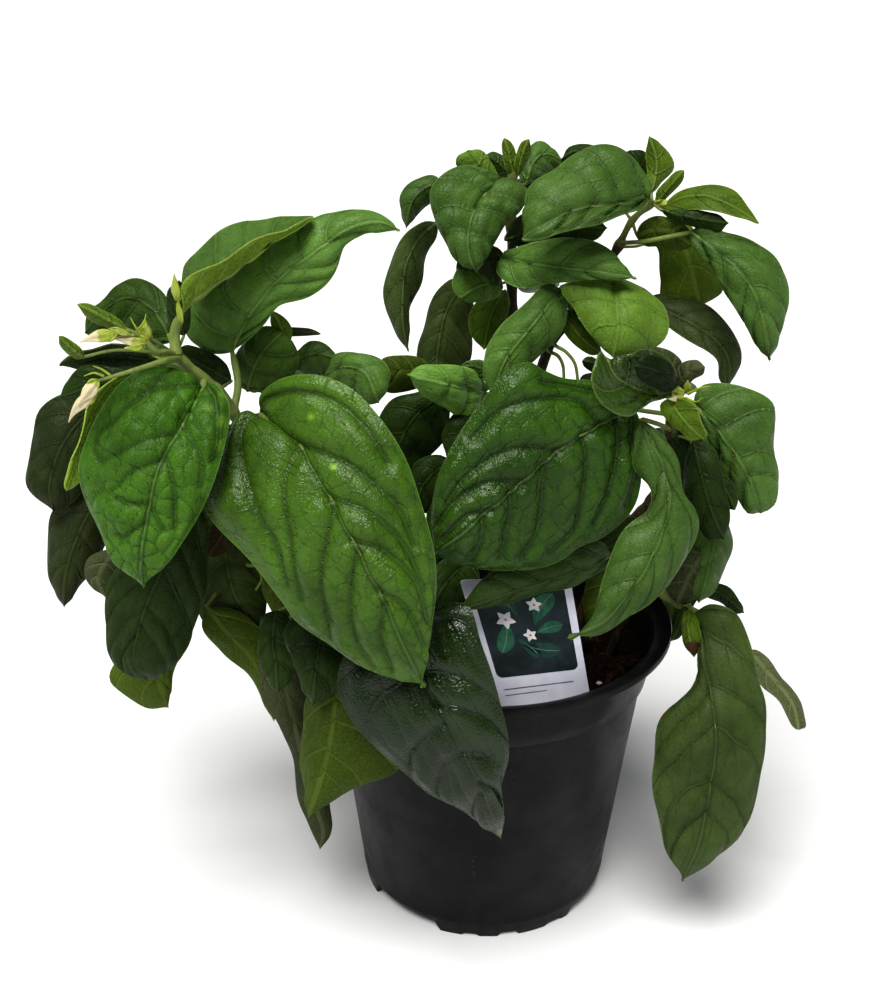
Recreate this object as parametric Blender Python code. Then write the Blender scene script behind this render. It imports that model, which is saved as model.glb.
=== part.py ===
"""Potted bleeding heart vine: a young twining shrub in a black nursery pot.

Row frame: +Z up, origin on the floor at the centre of the pot's foot, the side
that shows the plant label faces -Y.  Lengths below are millimetres and are
turned into metres when a mesh is made.

The vines and leaves are laid out on one perspective front view of 869 x 1000
units, by eye: a point is (across, down, y), with y the depth in millimetres,
negative towards the front.  spot() turns such a point into the row frame.
"""
import math
from collections import namedtuple

import bmesh
import bpy
from mathutils import Matrix, Vector

for old in list(bpy.data.objects):
    bpy.data.objects.remove(old, do_unlink=True)

MM = 0.001

# ---------------------------------------------------------------- dimensions
POT_H = 133.6          # floor to the top of the lip
LIP_R = 82.5           # outside radius of the lip
BAND_H = 24.5          # flared collar under the lip
NECK_R = 70.4          # body radius under the collar
FOOT_R = 56.3          # body radius at the floor
WALL = 1.6             # pot wall
FLOOR_Z = 6.4          # underside of the raised pot floor
PAD_R = 17.0           # centre pad that reaches the floor
SOIL_Z = 117.0         # level of the compost
SIDES = 60             # facets round the pot
CARD_W = 40.0          # plant label, width at the top
CARD_T = 0.7           # label thickness
LEAF_T = 1.2           # leaf solid, thickest at the midrib
STALK_R = 1.3          # leaf stalk radius
STALK_GAP = 0.4        # a stalk starts this far off its vine's skin

# front view: eye point, tilt below the horizon and scale of the view
EYE = Vector((-23.4, -560.4, 426.3))
TILT = math.radians(22.9)
SCALE = 1400.0
MID_U, MID_V = 434.5, 500.0
FWD = Vector((0, math.cos(TILT), -math.sin(TILT)))
UP = Vector((0, math.sin(TILT), math.cos(TILT)))
SIDE = Vector((1, 0, 0))


def spot(p):
    """A front-view point (across, down, y) in the row frame, millimetres."""
    u, v, y = p
    ray = FWD + SIDE * ((u - MID_U) / SCALE) - UP * ((v - MID_V) / SCALE)
    return EYE + ray * ((y - EYE.y) / ray.y)


def unit_at(p):
    """Millimetres that one unit of the view covers at row-frame point p."""
    return (p - EYE).dot(FWD) / SCALE


def curve_at(points, f):
    """Catmull-Rom point at index f along a list of vectors."""
    last = len(points) - 1
    f = min(max(f, 0.0), last)
    i = min(int(f), last - 1)
    t = f - i
    p1, p2 = points[i], points[i + 1]
    p0 = points[i - 1] if i > 0 else p1 * 2 - p2
    p3 = points[i + 2] if i + 2 <= last else p2 * 2 - p1
    return 0.5 * (2 * p1 + (p2 - p0) * t + (2 * p0 - 5 * p1 + 4 * p2 - p3) * t * t
                  + (3 * p1 - p0 - 3 * p2 + p3) * t ** 3)


def along(points, t):
    """The same curve by share of its index range, 0 to 1."""
    return curve_at(points, t * (len(points) - 1))


# ------------------------------------------------------------------ materials
def material(name, rgb, rough, metal=0.0):
    m = bpy.data.materials.new(name)
    m.use_nodes = True
    s = m.node_tree.nodes["Principled BSDF"]
    s.inputs["Base Color"].default_value = (*rgb, 1)
    s.inputs["Roughness"].default_value = rough
    s.inputs["Metallic"].default_value = metal
    return m


MAT = {
    "pot": material("pot_black", (0.018, 0.018, 0.019), 0.45),
    "soil": material("compost", (0.035, 0.018, 0.012), 0.95),
    "card": material("label_card", (0.72, 0.72, 0.80), 0.5),
    "stem": material("green_stem", (0.10, 0.16, 0.04), 0.6),
    "wood": material("woody_stem", (0.09, 0.06, 0.035), 0.8),
    "leaf": material("leaf_green", (0.035, 0.13, 0.018), 0.4),
    "young": material("leaf_young", (0.16, 0.32, 0.04), 0.45),
    "pale": material("leaf_underside", (0.14, 0.24, 0.05), 0.6),
    "flower": material("calyx_cream", (0.80, 0.70, 0.55), 0.55),
}


def add_object(name, bm, mat, flat=False):
    bmesh.ops.recalc_face_normals(bm, faces=bm.faces)
    mesh = bpy.data.meshes.new(name)
    bm.to_mesh(mesh)
    bm.free()
    mesh.transform(Matrix.Scale(MM, 4))
    mesh.materials.append(MAT[mat])
    if not flat:
        mesh.shade_smooth()
        mesh.set_sharp_from_angle(angle=math.radians(40))
    ob = bpy.data.objects.new(name, mesh)
    bpy.context.scene.collection.objects.link(ob)
    return ob


def loft(bm, rings, closed=False):
    """Skins rings of points of equal count, with end caps."""
    made = [[bm.verts.new(p) for p in ring] for ring in rings]
    n = len(made[0])
    for a, b in zip(made, made[1:]):
        for i in range(n):
            j = (i + 1) % n
            bm.faces.new((a[i], a[j], b[j], b[i]))
    if not closed:
        bm.faces.new(list(reversed(made[0])))
        bm.faces.new(made[-1])
    else:
        a, b = made[-1], made[0]
        for i in range(n):
            j = (i + 1) % n
            bm.faces.new((a[i], a[j], b[j], b[i]))
    return made


def turned(bm, profile, sides, foot=None):
    """Closed turned shape.  profile runs (r, z) round the section; r 0 ends it."""
    rows = []
    for r, z in profile:
        if r == 0:
            rows.append([bm.verts.new((0, 0, z))])
            continue
        row = []
        for k in range(sides):
            a = 2 * math.pi * k / sides
            zz = z + (foot(a) if foot and z == 0 and r > PAD_R + 3 else 0)
            row.append(bm.verts.new((r * math.cos(a), r * math.sin(a), zz)))
        rows.append(row)
    for a, b in zip(rows, rows[1:]):
        for k in range(sides):
            j = (k + 1) % sides
            if len(a) == 1:
                bm.faces.new((a[0], b[j], b[k]))
            elif len(b) == 1:
                bm.faces.new((a[k], a[j], b[0]))
            else:
                bm.faces.new((a[k], a[j], b[j], b[k]))


# ------------------------------------------------------------------------ pot
def body_r(z):
    """Outside radius of the pot's tapering body."""
    return FOOT_R + (NECK_R - FOOT_R) * z / (POT_H - BAND_H)


def foot_lift(a):
    """Height of the drainage arches that are cut in the foot, by angle.

    Three wide arches, with small scallops in the feet between them."""
    deg = math.degrees(a) % 360
    lift = 0.0
    for centre, half, high in ((-133, 20, 6.1), (-25, 22, 6.1), (101, 22, 6.1),
                               (-98, 3.4, 1.6), (-80, 4.6, 2.7), (-57, 4.0, 1.8),
                               (20, 4, 2.4), (42, 4, 2.4), (64, 3.4, 1.8),
                               (140, 4, 2.4), (162, 4, 2.4), (184, 4, 2.4)):
        d = abs((deg - centre + 180) % 360 - 180) / half
        if d < 1:
            lift = max(lift, high * min(1.0, 1.9 * math.sqrt(1 - d * d)))
    return lift


def pot():
    bm = bmesh.new()
    top = POT_H - BAND_H
    turned(bm, [
        (0, 0), (PAD_R, 0), (PAD_R + 2.5, FLOOR_Z), (FOOT_R - 4.0, FLOOR_Z), (FOOT_R - WALL, 0),
        (FOOT_R, 0), (body_r(FLOOR_Z + 2), FLOOR_Z + 2), (body_r(top * 0.55), top * 0.55), (NECK_R, top),
        (NECK_R + 1.4, top + 0.6), (NECK_R + 5.2, POT_H - 5.0), (LIP_R - 1.4, POT_H - 3.4), (LIP_R, POT_H - 2.4),
        (LIP_R, POT_H - 0.5), (LIP_R - 0.7, POT_H), (LIP_R - 2.6, POT_H - 0.3), (NECK_R + 4.6, POT_H - 2.2),
        (NECK_R + 3.4, POT_H - 5.0), (NECK_R - 0.2, top + 0.6), (NECK_R - WALL, top - 0.6),
        (body_r(FLOOR_Z + 4) - WALL, FLOOR_Z + 4), (FOOT_R - 4.0, FLOOR_Z + 1.6), (PAD_R + 1.5, FLOOR_Z + 1.6),
        (PAD_R - 1.0, 1.6), (0, 1.6),
    ], SIDES, foot_lift)
    add_object("nursery_pot", bm, "pot")


def soil():
    bm = bmesh.new()
    gap = 0.5
    top = POT_H - BAND_H
    inner = lambda z: body_r(z) - WALL - gap
    rim = NECK_R + 0.4 + (SOIL_Z - top) * 0.21 - gap - 0.7
    turned(bm, [
        (0, 1.6 + gap), (PAD_R - 1.9, 1.6 + gap), (PAD_R + 0.9, FLOOR_Z + 1.6 + gap),
        (FOOT_R - 4.6, FLOOR_Z + 1.6 + gap), (inner(FLOOR_Z + 5), FLOOR_Z + 5), (inner(top - 0.8), top - 0.8),
        (rim - 1.6, top + 0.8), (rim - 0.6, SOIL_Z - 1.5), (rim - 5, SOIL_Z - 0.3), (45, SOIL_Z + 0.8), (20, SOIL_Z - 0.4), (0, SOIL_Z + 0.3),
    ], 36)
    return add_object("compost", bm, "soil")


# ---------------------------------------------------------------------- vines
ROOT = lambda x, y: Vector((x, y, SOIL_Z - 14.0))
# name: (points, radius at the soil, radius at the tip, material)
VINES = {
    "vine_left": ([ROOT(-27, -18)] + [spot(p) for p in (
        (350, 560, -30), (275, 470, -42), (238, 420, -50), (224, 397, -54), (204, 380, -58), (176, 355, -62))], 2.8, 1.5, "wood"),
    "vine_left_low": ([ROOT(-36, 4)] + [spot(p) for p in (
        (320, 545, 4), (246, 500, 0), (182, 478, -8), (128, 452, -12))], 2.6, 1.6, "wood"),
    "vine_middle": ([ROOT(-14, 18)] + [spot(p) for p in (
        (392, 520, 20), (362, 440, 8), (330, 392, -8), (292, 362, -18))], 2.6, 1.6, "wood"),
    "vine_top": ([ROOT(4, 22)] + [spot(p) for p in (
        (496, 520, 26), (503, 420, 30), (511, 330, 32), (512, 250, 30), (511, 188, 28), (516, 166, 27))], 3.0, 1.5, "wood"),
    "vine_top_right": ([ROOT(17, 8)] + [spot(p) for p in (
        (545, 500, 14), (538, 400, 10), (548, 350, 8), (574, 314, 8), (603, 272, 14), (618, 247, 16), (632, 221, 14), (652, 203, 12))], 3.0, 1.7, "wood"),
    "vine_right": ([ROOT(32, -6)] + [spot(p) for p in (
        (605, 560, -8), (652, 500, -14), (670, 450, -24), (673, 415, -31), (677, 398, -35))], 2.8, 1.7, "wood"),
    "vine_low_right": ([ROOT(52, -4)] + [spot(p) for p in (
        (640, 588, -12), (668, 598, -19), (689, 607, -23))], 2.2, 1.5, "stem"),
    "vine_front": ([ROOT(-24, -42)] + [spot(p) for p in (
        (402, 640, -52), (372, 600, -56), (345, 588, -56), (312, 590, -52))], 2.4, 1.5, "wood"),
}


def vine_r(name, f):
    points, r0, r1, _ = VINES[name]
    return r0 + (r1 - r0) * f / (len(points) - 1)


def stalk_start(name, at, toward, r):
    """Where a stalk of radius r, heading for a point, clears its vine's skin."""
    points = VINES[name][0]
    last = len(points) - 1
    start = curve_at(points, at)
    along_vine = (curve_at(points, min(at + 0.1, last)) - curve_at(points, max(at - 0.1, 0))).normalized()
    away = (toward - start).normalized()
    cos = away.dot(along_vine)
    sin = max(math.sqrt(max(0.0, 1 - cos * cos)), 0.05)
    reach = (vine_r(name, at) + r * abs(cos) + STALK_GAP) / sin
    if at > last - 0.01 and cos > 0.05:
        reach = min(reach, (r * sin + STALK_GAP) / cos)
    return start + away * reach


def tube(bm, path, radii, sides=6, turn=0.0):
    """Tube through path, its sides carried along without twist."""
    rings = []
    last = None
    for i, p in enumerate(path):
        d = (path[min(i + 1, len(path) - 1)] - path[max(i - 1, 0)]).normalized()
        if last is None:
            ref = Vector((0, 0, 1)) if abs(d.z) < 0.9 else Vector((0, 1, 0))
            x = d.cross(ref).normalized()
        else:
            x = (last - d * last.dot(d)).normalized()
        last = x
        y = d.cross(x)
        rings.append([p + radii[i] * (x * math.cos(a) + y * math.sin(a))
                      for a in (turn + 2 * math.pi * k / sides for k in range(sides))])
    loft(bm, rings)


def vine(name):
    points, r0, r1, mat = VINES[name]
    steps = 3 * (len(points) - 1)
    path = [along(points, i / steps) for i in range(steps + 1)]
    bm = bmesh.new()
    tube(bm, path, [r0 + (r1 - r0) * i / steps for i in range(steps + 1)])
    return add_object(name, bm, mat)


# --------------------------------------------------------------------- leaves
# Each leaf: name, vine and place on it, stalk points, midrib points (across,
# down, y) from blade base to tip, the two margins (across, down) between base
# and tip, how far each margin falls back from the midrib (mm) and its kind.
Leaf = namedtuple("Leaf", "name vine at stalk rib edge_a edge_b fall kind")
LEAVES = [
    # --- left shoot
    Leaf("leaf_left_big", "vine_left", 2.75, [],
         [(257, 411, -64), (300, 446, -82), (330, 498, -96), (353, 541, -104), (381, 596, -110), (404, 646, -112), (426, 691, -110)],
         [(260, 394), (283, 378), (318, 375), (352, 389), (381, 419), (406, 459), (422, 503), (434, 553), (437, 600), (430, 650)],
         [(240, 412), (225, 436), (206, 484), (205, 508), (226, 537), (256, 570), (282, 600), (300, 625), (340, 654), (384, 677), (410, 685)],
         (9, 12), "mid"),
    Leaf("leaf_left_front", "vine_left", 5.0, [],
         [(203, 386, -68), (181, 428, -82), (160, 464, -90), (147, 518, -94), (141, 568, -93), (143, 590, -92)],
         [(189, 374), (160, 367), (132, 376), (108, 398), (90, 430), (81, 468), (88, 506), (104, 546), (124, 574), (137, 585)],
         [(216, 384), (230, 406), (226, 440), (215, 478), (199, 516), (178, 548), (158, 573), (146, 583)],
         (14, 2), "mid"),
    Leaf("leaf_left_edge", "vine_left", 6.0, [(163, 363, -63)],
         [(146, 370, -64), (124, 377, -66), (104, 392, -68), (92, 415, -69), (82, 445, -70), (72, 474, -70), (67, 491, -70)],
         [(126, 370), (104, 383), (90, 401), (82, 422), (76, 444), (69, 466), (65, 482)],
         [(138, 384), (120, 398), (108, 418), (98, 444), (86, 470), (74, 487)],
         (-5, 9), "young"),
    Leaf("leaf_left_high", "vine_left", 3.25, [(238, 384, -45)],
         [(232, 353, -38), (250, 314, -40), (282, 276, -40), (318, 250, -38), (350, 228, -35), (380, 222, -33), (401, 232, -33)],
         [(212, 353), (190, 340), (183, 315), (200, 291), (234, 270), (268, 244), (305, 220), (345, 210), (376, 212), (394, 221)],
         [(245, 342), (264, 323), (280, 307), (312, 294), (336, 272), (345, 246), (360, 233), (382, 233)],
         (10, 4), "dark"),
    Leaf("leaf_left_folded", "vine_left", 6.0, [(175, 332, -59)],
         [(184, 312, -60), (200, 298, -58), (231, 275, -54), (262, 253, -49), (290, 234, -43), (314, 218, -36)],
         [(180, 292), (186, 279), (208, 265), (234, 251), (262, 236), (290, 225)],
         [(181, 278), (188, 262), (208, 245), (236, 227), (262, 221), (292, 221)],
         (-7, 20), "fold"),
    Leaf("leaf_left_back", "vine_left", 5.7, [],
         [(171, 343, -46), (162, 322, -40), (146, 304, -34), (124, 298, -30), (102, 312, -28), (84, 334, -28)],
         [(175, 322), (165, 294), (142, 281), (119, 285), (98, 304), (85, 324)],
         [(152, 345), (130, 340), (108, 336), (94, 338)],
         (6, 4), "dark"),
    Leaf("leaf_left_flat", "vine_left", 5.3, [(176, 364, -50)],
         [(156, 360, -48), (126, 356, -44), (94, 357, -44), (60, 367, -46)],
         [(140, 347), (112, 345), (84, 349), (68, 358)],
         [(142, 374), (114, 378), (88, 372), (72, 367)],
         (-8, 6), "dark"),
    # --- low left
    Leaf("leaf_outer_high", "vine_left_low", 4.0, [(126, 424, -14)],
         [(116, 402, -17), (86, 416, -22), (62, 446, -26), (50, 482, -27), (53, 512, -26)],
         [(96, 391), (62, 394), (42, 409), (35, 434), (30, 452), (27, 480), (38, 498)],
         [(112, 432), (98, 462), (80, 490), (64, 510)],
         (6, 8), "shade"),
    Leaf("leaf_outer_low", "vine_left_low", 4.0, [],
         [(113, 478, -14), (92, 508, -19), (74, 546, -23), (65, 580, -24), (64, 609, -24)],
         [(88, 482), (60, 504), (48, 532), (50, 566), (56, 594)],
         [(116, 508), (108, 540), (92, 566), (76, 592)],
         (8, 7), "shade"),
    Leaf("leaf_left_hanging", "vine_left_low", 3.0, [(190, 484, -26)],
         [(194, 500, -38), (172, 550, -50), (151, 594, -55), (138, 632, -56), (134, 658, -54), (145, 681, -50)],
         [(168, 510), (132, 545), (111, 580), (106, 615), (107, 648), (121, 669), (134, 679)],
         [(207, 520), (208, 560), (204, 594), (192, 634), (176, 662), (158, 678)],
         (7, 8), "dark"),
    Leaf("leaf_left_under", "vine_left_low", 2.7, [(196, 520, -18)],
         [(184, 600, -30), (168, 640, -36), (158, 676, -38), (169, 708, -36)],
         [(160, 622), (126, 652), (111, 676), (124, 694), (146, 707)],
         [(192, 630), (178, 660), (169, 686)],
         (5, 5), "lit"),
    Leaf("leaf_hollow_grey", "vine_left_low", 2.0, [],
         [(226, 528, -16), (226, 560, -24), (234, 592, -30), (246, 614, -31), (259, 633, -30)],
         [(204, 538), (198, 572), (197, 608), (212, 627), (236, 632)],
         [(248, 556), (263, 582), (266, 608), (264, 626)],
         (6, 7), "shade"),
    # --- front, hanging over the lip
    Leaf("leaf_front_small", "vine_front", 2.6, [],
         [(328, 614, -68), (320, 640, -77), (316, 672, -84), (312, 707, -86)],
         [(304, 610), (286, 630), (292, 660), (304, 684), (310, 698)],
         [(352, 628), (360, 655), (346, 676), (328, 694), (317, 702)],
         (6, 6), "dark"),
    Leaf("leaf_front_grey", "vine_front", 4.0, [(296, 606, -50)],
         [(284, 640, -46), (286, 690, -46), (298, 740, -48), (312, 795, -50), (323, 830, -50), (320, 850, -50)],
         [(262, 650), (263, 696), (280, 722), (294, 762), (301, 804), (313, 834)],
         [(306, 660), (310, 712), (321, 762), (330, 806), (330, 834)],
         (4, 6), "grey"),
    Leaf("leaf_front_yellow", "vine_front", 1.9, [(374, 626, -64)],
         [(354, 660, -70), (337, 694, -76), (332, 730, -79), (325, 764, -80), (316, 794, -79), (308, 819, -78)],
         [(334, 664), (312, 692), (303, 724), (303, 758), (305, 792)],
         [(384, 676), (402, 716), (405, 748), (396, 769), (364, 784), (332, 799)],
         (10, 4), "lit"),
    Leaf("leaf_front_dark", "vine_front", 1.5, [],
         [(406, 618, -74), (416, 652, -88), (430, 694, -98), (450, 728, -103), (475, 775, -104), (490, 808, -101), (502, 842, -96)],
         [(374, 626), (346, 652), (337, 688), (354, 722), (382, 754), (418, 784), (452, 805), (484, 828)],
         [(436, 604), (468, 606), (482, 645), (496, 686), (506, 728), (508, 758), (502, 794), (504, 826)],
         (5, 4), "gloss"),
    # --- middle
    Leaf("leaf_mid_veined", "vine_middle", 4.0, [(272, 384, -10), (250, 394, -10)],
         [(247, 392, -26), (254, 368, -30), (266, 348, -32), (284, 331, -32)],
         [(238, 376), (238, 352), (252, 334), (268, 327)],
         [(268, 388), (290, 380), (298, 360), (293, 342)],
         (5, 5), "dark"),
    Leaf("leaf_mid_bright", "vine_middle", 3.3, [],
         [(322, 376, -26), (344, 367, -36), (366, 374, -42), (379, 404, -46)],
         [(334, 357), (354, 352), (376, 358), (388, 371), (386, 391)],
         [(332, 388), (350, 394), (366, 404)],
         (6, 6), "mid"),
    # --- top
    Leaf("leaf_top_heart", "vine_top", 5.0, [],
         [(501, 185, 20), (485, 194, 10), (473, 214, 2), (468, 240, -4), (471, 262, -6), (478, 274, -6)],
         [(490, 173), (468, 164), (446, 173), (432, 190), (433, 216), (443, 240), (460, 262)],
         [(514, 182), (526, 191), (521, 210), (505, 226), (491, 245), (483, 264)],
         (9, 10), "mid"),
    Leaf("leaf_top_bright", "vine_top_right", 8.0, [],
         [(650, 198, 2), (620, 204, -8), (588, 207, -14), (554, 219, -18), (521, 238, -20)],
         [(648, 180), (636, 160), (620, 149), (597, 147), (573, 155), (550, 172), (532, 187), (524, 212)],
         [(640, 209), (618, 218), (588, 227), (558, 235), (536, 240)],
         (16, -4), "mid"),
    Leaf("leaf_top_tip_left", "vine_top", 4.8, [(474, 182, 34)],
         [(442, 182, 32), (424, 189, 30), (411, 204, 28), (406, 229, 27)],
         [(430, 175), (411, 184), (400, 197), (402, 214)],
         [(438, 194), (427, 206), (414, 217)],
         (6, 5), "mid"),
    Leaf("leaf_top_hanging", "vine_top", 4.4, [(482, 216, 42)],
         [(437, 222, 40), (418, 240, 37), (406, 266, 34), (403, 294, 32), (403, 324, 30), (409, 353, 29)],
         [(420, 224), (398, 246), (387, 276), (386, 304), (394, 330), (404, 346)],
         [(436, 236), (426, 256), (420, 282), (410, 308), (408, 334)],
         (8, 7), "shade"),
    Leaf("leaf_top_round", "vine_top", 5.0, [],
         [(526, 184, 36), (532, 165, 40), (545, 154, 44), (564, 161, 47)],
         [(519, 172), (525, 154), (538, 143), (553, 149)],
         [(538, 182), (552, 176), (562, 170)],
         (6, 5), "mid"),
    Leaf("leaf_top_upright", "vine_top_right", 8.0, [],
         [(652, 193, 14), (656, 175, 18), (656, 158, 20), (649, 136, 22)],
         [(648, 184), (647, 168), (647, 150)],
         [(661, 183), (672, 168), (668, 153), (658, 142)],
         (2, 5), "young"),
    Leaf("leaf_top_right_lit", "vine_top_right", 8.0, [],
         [(664, 207, 8), (682, 198, 4), (706, 196, 0), (732, 206, -3), (759, 223, -5)],
         [(672, 198), (690, 189), (712, 185), (733, 192), (749, 209)],
         [(672, 213), (692, 210), (716, 212), (742, 218)],
         (6, -2), "young"),
    Leaf("leaf_right_high", "vine_top_right", 6.15, [(646, 241, 4)],
         [(690, 231, 4), (714, 250, -5), (738, 270, -11), (755, 295, -15), (764, 326, -17), (770, 363, -17)],
         [(704, 227), (730, 235), (757, 244), (777, 258), (786, 284), (785, 318), (777, 346)],
         [(696, 246), (710, 262), (722, 286), (736, 306), (744, 324), (757, 346)],
         (9, 6), "mid"),
    Leaf("leaf_right_lit", "vine_top_right", 6.0, [(638, 246, 20)],
         [(652, 240, 22), (670, 236, 22), (685, 250, 20), (693, 276, 17), (700, 307, 15)],
         [(658, 248), (661, 262), (662, 280), (661, 296), (682, 301)],
         [(664, 222), (688, 224), (706, 248), (717, 272), (722, 292)],
         (4, 6), "lit"),
    Leaf("leaf_right_dark", "vine_top_right", 5.0, [(626, 288, 18)],
         [(644, 301, 14), (680, 318, 8), (710, 336, 3), (727, 358, 0), (729, 388, -2)],
         [(662, 294), (690, 300), (716, 313), (734, 334), (739, 362)],
         [(652, 316), (670, 329), (694, 344), (716, 360), (720, 380)],
         (8, -2), "shade"),
    Leaf("leaf_centre_flat", "vine_top", 3.8, [(504, 262, 22)],
         [(500, 258, 14), (532, 264, 2), (566, 268, -5), (602, 273, -9), (638, 279, -10)],
         [(512, 249), (540, 243), (568, 237), (593, 242), (613, 254), (628, 270)],
         [(498, 274), (520, 288), (552, 283), (584, 280), (614, 279)],
         (8, 1), "mid"),
    Leaf("leaf_centre_left", "vine_top", 3.6, [],
         [(500, 284, 20), (488, 284, 12), (474, 288, 6), (461, 298, 4)],
         [(496, 272), (478, 264), (461, 266), (453, 282), (455, 294)],
         [(500, 296), (484, 300), (469, 303)],
         (5, 4), "dark"),
    Leaf("leaf_centre_bright", "vine_top_right", 5.0, [(610, 276, 8)],
         [(612, 281, 0), (616, 302, -10), (618, 330, -18), (613, 358, -22)],
         [(590, 279), (561, 289), (575, 308), (590, 331), (603, 349)],
         [(640, 288), (661, 304), (667, 328), (658, 345), (636, 354)],
         (7, 7), "bright"),
    Leaf("leaf_centre_hanging", "vine_top_right", 4.0, [(562, 287, 16)],
         [(560, 288, 4), (545, 310, -7), (525, 335, -13), (505, 362, -16), (491, 398, -17)],
         [(545, 285), (524, 304), (501, 328), (486, 349), (484, 374)],
         [(568, 304), (561, 330), (541, 355), (517, 374), (500, 390)],
         (7, 5), "mid"),
    Leaf("leaf_back_left", "vine_top", 3.0, [(488, 294, 56), (466, 281, 60)],
         [(464, 284, 48), (449, 306, 44), (441, 332, 40), (437, 362, 36), (439, 392, 34)],
         [(450, 280), (434, 300), (424, 326), (419, 356), (426, 382)],
         [(472, 304), (472, 332), (468, 362), (456, 386)],
         (7, 6), "shade"),
    Leaf("leaf_centre_low", "vine_top", 2.2, [],
         [(487, 393, 8), (462, 388, -4), (436, 381, -10), (406, 375, -12)],
         [(480, 374), (456, 366), (430, 364), (414, 369)],
         [(478, 409), (461, 418), (444, 408), (424, 393)],
         (5, 8), "mid"),
    # --- right
    Leaf("leaf_right_big", "vine_right", 4.0, [],
         [(638, 409, -44), (598, 426, -58), (557, 451, -68), (512, 491, -76), (480, 517, -80), (434, 556, -84)],
         [(626, 391), (600, 381), (568, 378), (546, 370), (528, 362), (507, 370), (487, 394), (467, 421), (449, 452), (436, 484), (430, 516), (431, 542)],
         [(641, 428), (643, 456), (641, 486), (628, 515), (604, 538), (580, 548), (555, 562), (524, 570), (494, 572), (464, 567), (444, 562)],
         (8, 8), "hero"),
    Leaf("leaf_right_cup", "vine_right", 5.0, [],
         [(667, 397, -46), (648, 392, -52), (628, 384, -57), (612, 372, -60), (603, 351, -60)],
         [(676, 380), (668, 358), (645, 349), (629, 354), (617, 362), (607, 361)],
         [(656, 402), (644, 409), (628, 416), (608, 411), (594, 398), (592, 378), (597, 361)],
         (2, -10), "gloss"),
    Leaf("leaf_right_side", "vine_right", 4.6, [(684, 404, -32)],
         [(692, 402, -30), (714, 427, -37), (738, 457, -42), (752, 486, -43), (761, 515, -42)],
         [(706, 384), (745, 388), (775, 406), (772, 446), (778, 476), (778, 498), (770, 511)],
         [(696, 420), (712, 442), (722, 466), (732, 490), (746, 512)],
         (8, 7), "mid"),
    Leaf("leaf_right_twist", "vine_right", 3.5, [(658, 424, -43)],
         [(641, 417, -52), (654, 446, -58), (667, 480, -64), (668, 512, -70), (655, 552, -76), (632, 590, -81), (603, 622, -85), (567, 638, -88)],
         [(634, 432), (634, 466), (650, 490), (646, 512), (622, 533), (607, 564), (598, 604), (582, 629)],
         [(656, 432), (677, 459), (683, 492), (697, 520), (690, 553), (665, 587), (640, 609), (604, 634)],
         (7, 6), "mid"),
    Leaf("leaf_right_inner", "vine_right", 3.4, [],
         [(693, 440, -40), (700, 470, -47), (708, 500, -51), (716, 522, -52), (725, 540, -52)],
         [(686, 456), (684, 482), (693, 514), (706, 537)],
         [(712, 446), (720, 468), (728, 502), (728, 522)],
         (6, 3), "dark"),
    Leaf("leaf_right_low", "vine_right", 2.0, [(694, 500, -8), (713, 501, -3)],
         [(713, 506, -14), (714, 538, -21), (707, 574, -26), (699, 604, -28)],
         [(726, 518), (731, 542), (726, 566), (714, 590)],
         [(700, 520), (694, 546), (688, 572), (691, 594)],
         (7, 5), "mid"),
    Leaf("leaf_right_hanging", "vine_low_right", 3.0, [],
         [(692, 613, -32), (701, 640, -40), (709, 684, -50), (716, 735, -58), (711, 782, -62), (700, 838, -64), (681, 884, -62)],
         [(692, 632), (701, 657), (688, 692), (659, 721), (654, 760), (653, 792), (662, 835), (670, 860), (678, 872)],
         [(712, 604), (736, 613), (749, 640), (757, 676), (767, 708), (763, 756), (753, 812), (724, 851), (696, 874)],
         (7, 5), "matte"),
    Leaf("leaf_right_narrow", "vine_low_right", 3.0, [(716, 622, -16)],
         [(748, 650, -12), (765, 670, -12), (783, 691, -14), (794, 708, -15), (799, 730, -16)],
         [(760, 653), (780, 676), (798, 701), (806, 725)],
         [(752, 667), (762, 687), (781, 704), (791, 724)],
         (7, -4), "grey"),
    Leaf("leaf_under_big", "vine_right", 1.4, [(636, 546, -32)],
         [(612, 556, -46), (572, 572, -58), (530, 586, -66), (495, 598, -72), (457, 612, -76)],
         [(596, 540), (552, 550), (516, 562), (486, 576), (470, 594)],
         [(608, 567), (578, 583), (545, 593), (512, 601), (480, 608)],
         (3, 4), "mid"),
    # --- back of the crown
    Leaf("leaf_rear_top", "vine_top", 3.6, [(520, 272, 46)],
         [(528, 262, 58), (540, 256, 76), (552, 264, 94), (560, 286, 108)],
         [(514, 236), (524, 232), (546, 244), (562, 268)],
         [(516, 284), (528, 292), (540, 292), (552, 292)],
         (6, 6), "rear"),
    Leaf("leaf_rear_left", "vine_middle", 1.6, [(368, 462, 26)],
         [(352, 452, 40), (338, 440, 58), (324, 444, 76), (316, 464, 90)],
         [(330, 420), (316, 420), (308, 436), (310, 454)],
         [(368, 470), (356, 480), (340, 480), (326, 474)],
         (6, 6), "rear"),
    Leaf("leaf_rear_right", "vine_top_right", 2.0, [(566, 404, 26)],
         [(590, 402, 42), (608, 404, 60), (622, 418, 76), (630, 444, 88)],
         [(580, 378), (602, 376), (626, 394), (636, 424)],
         [(580, 424), (592, 438), (606, 448), (620, 452)],
         (6, 6), "rear"),
]


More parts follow.
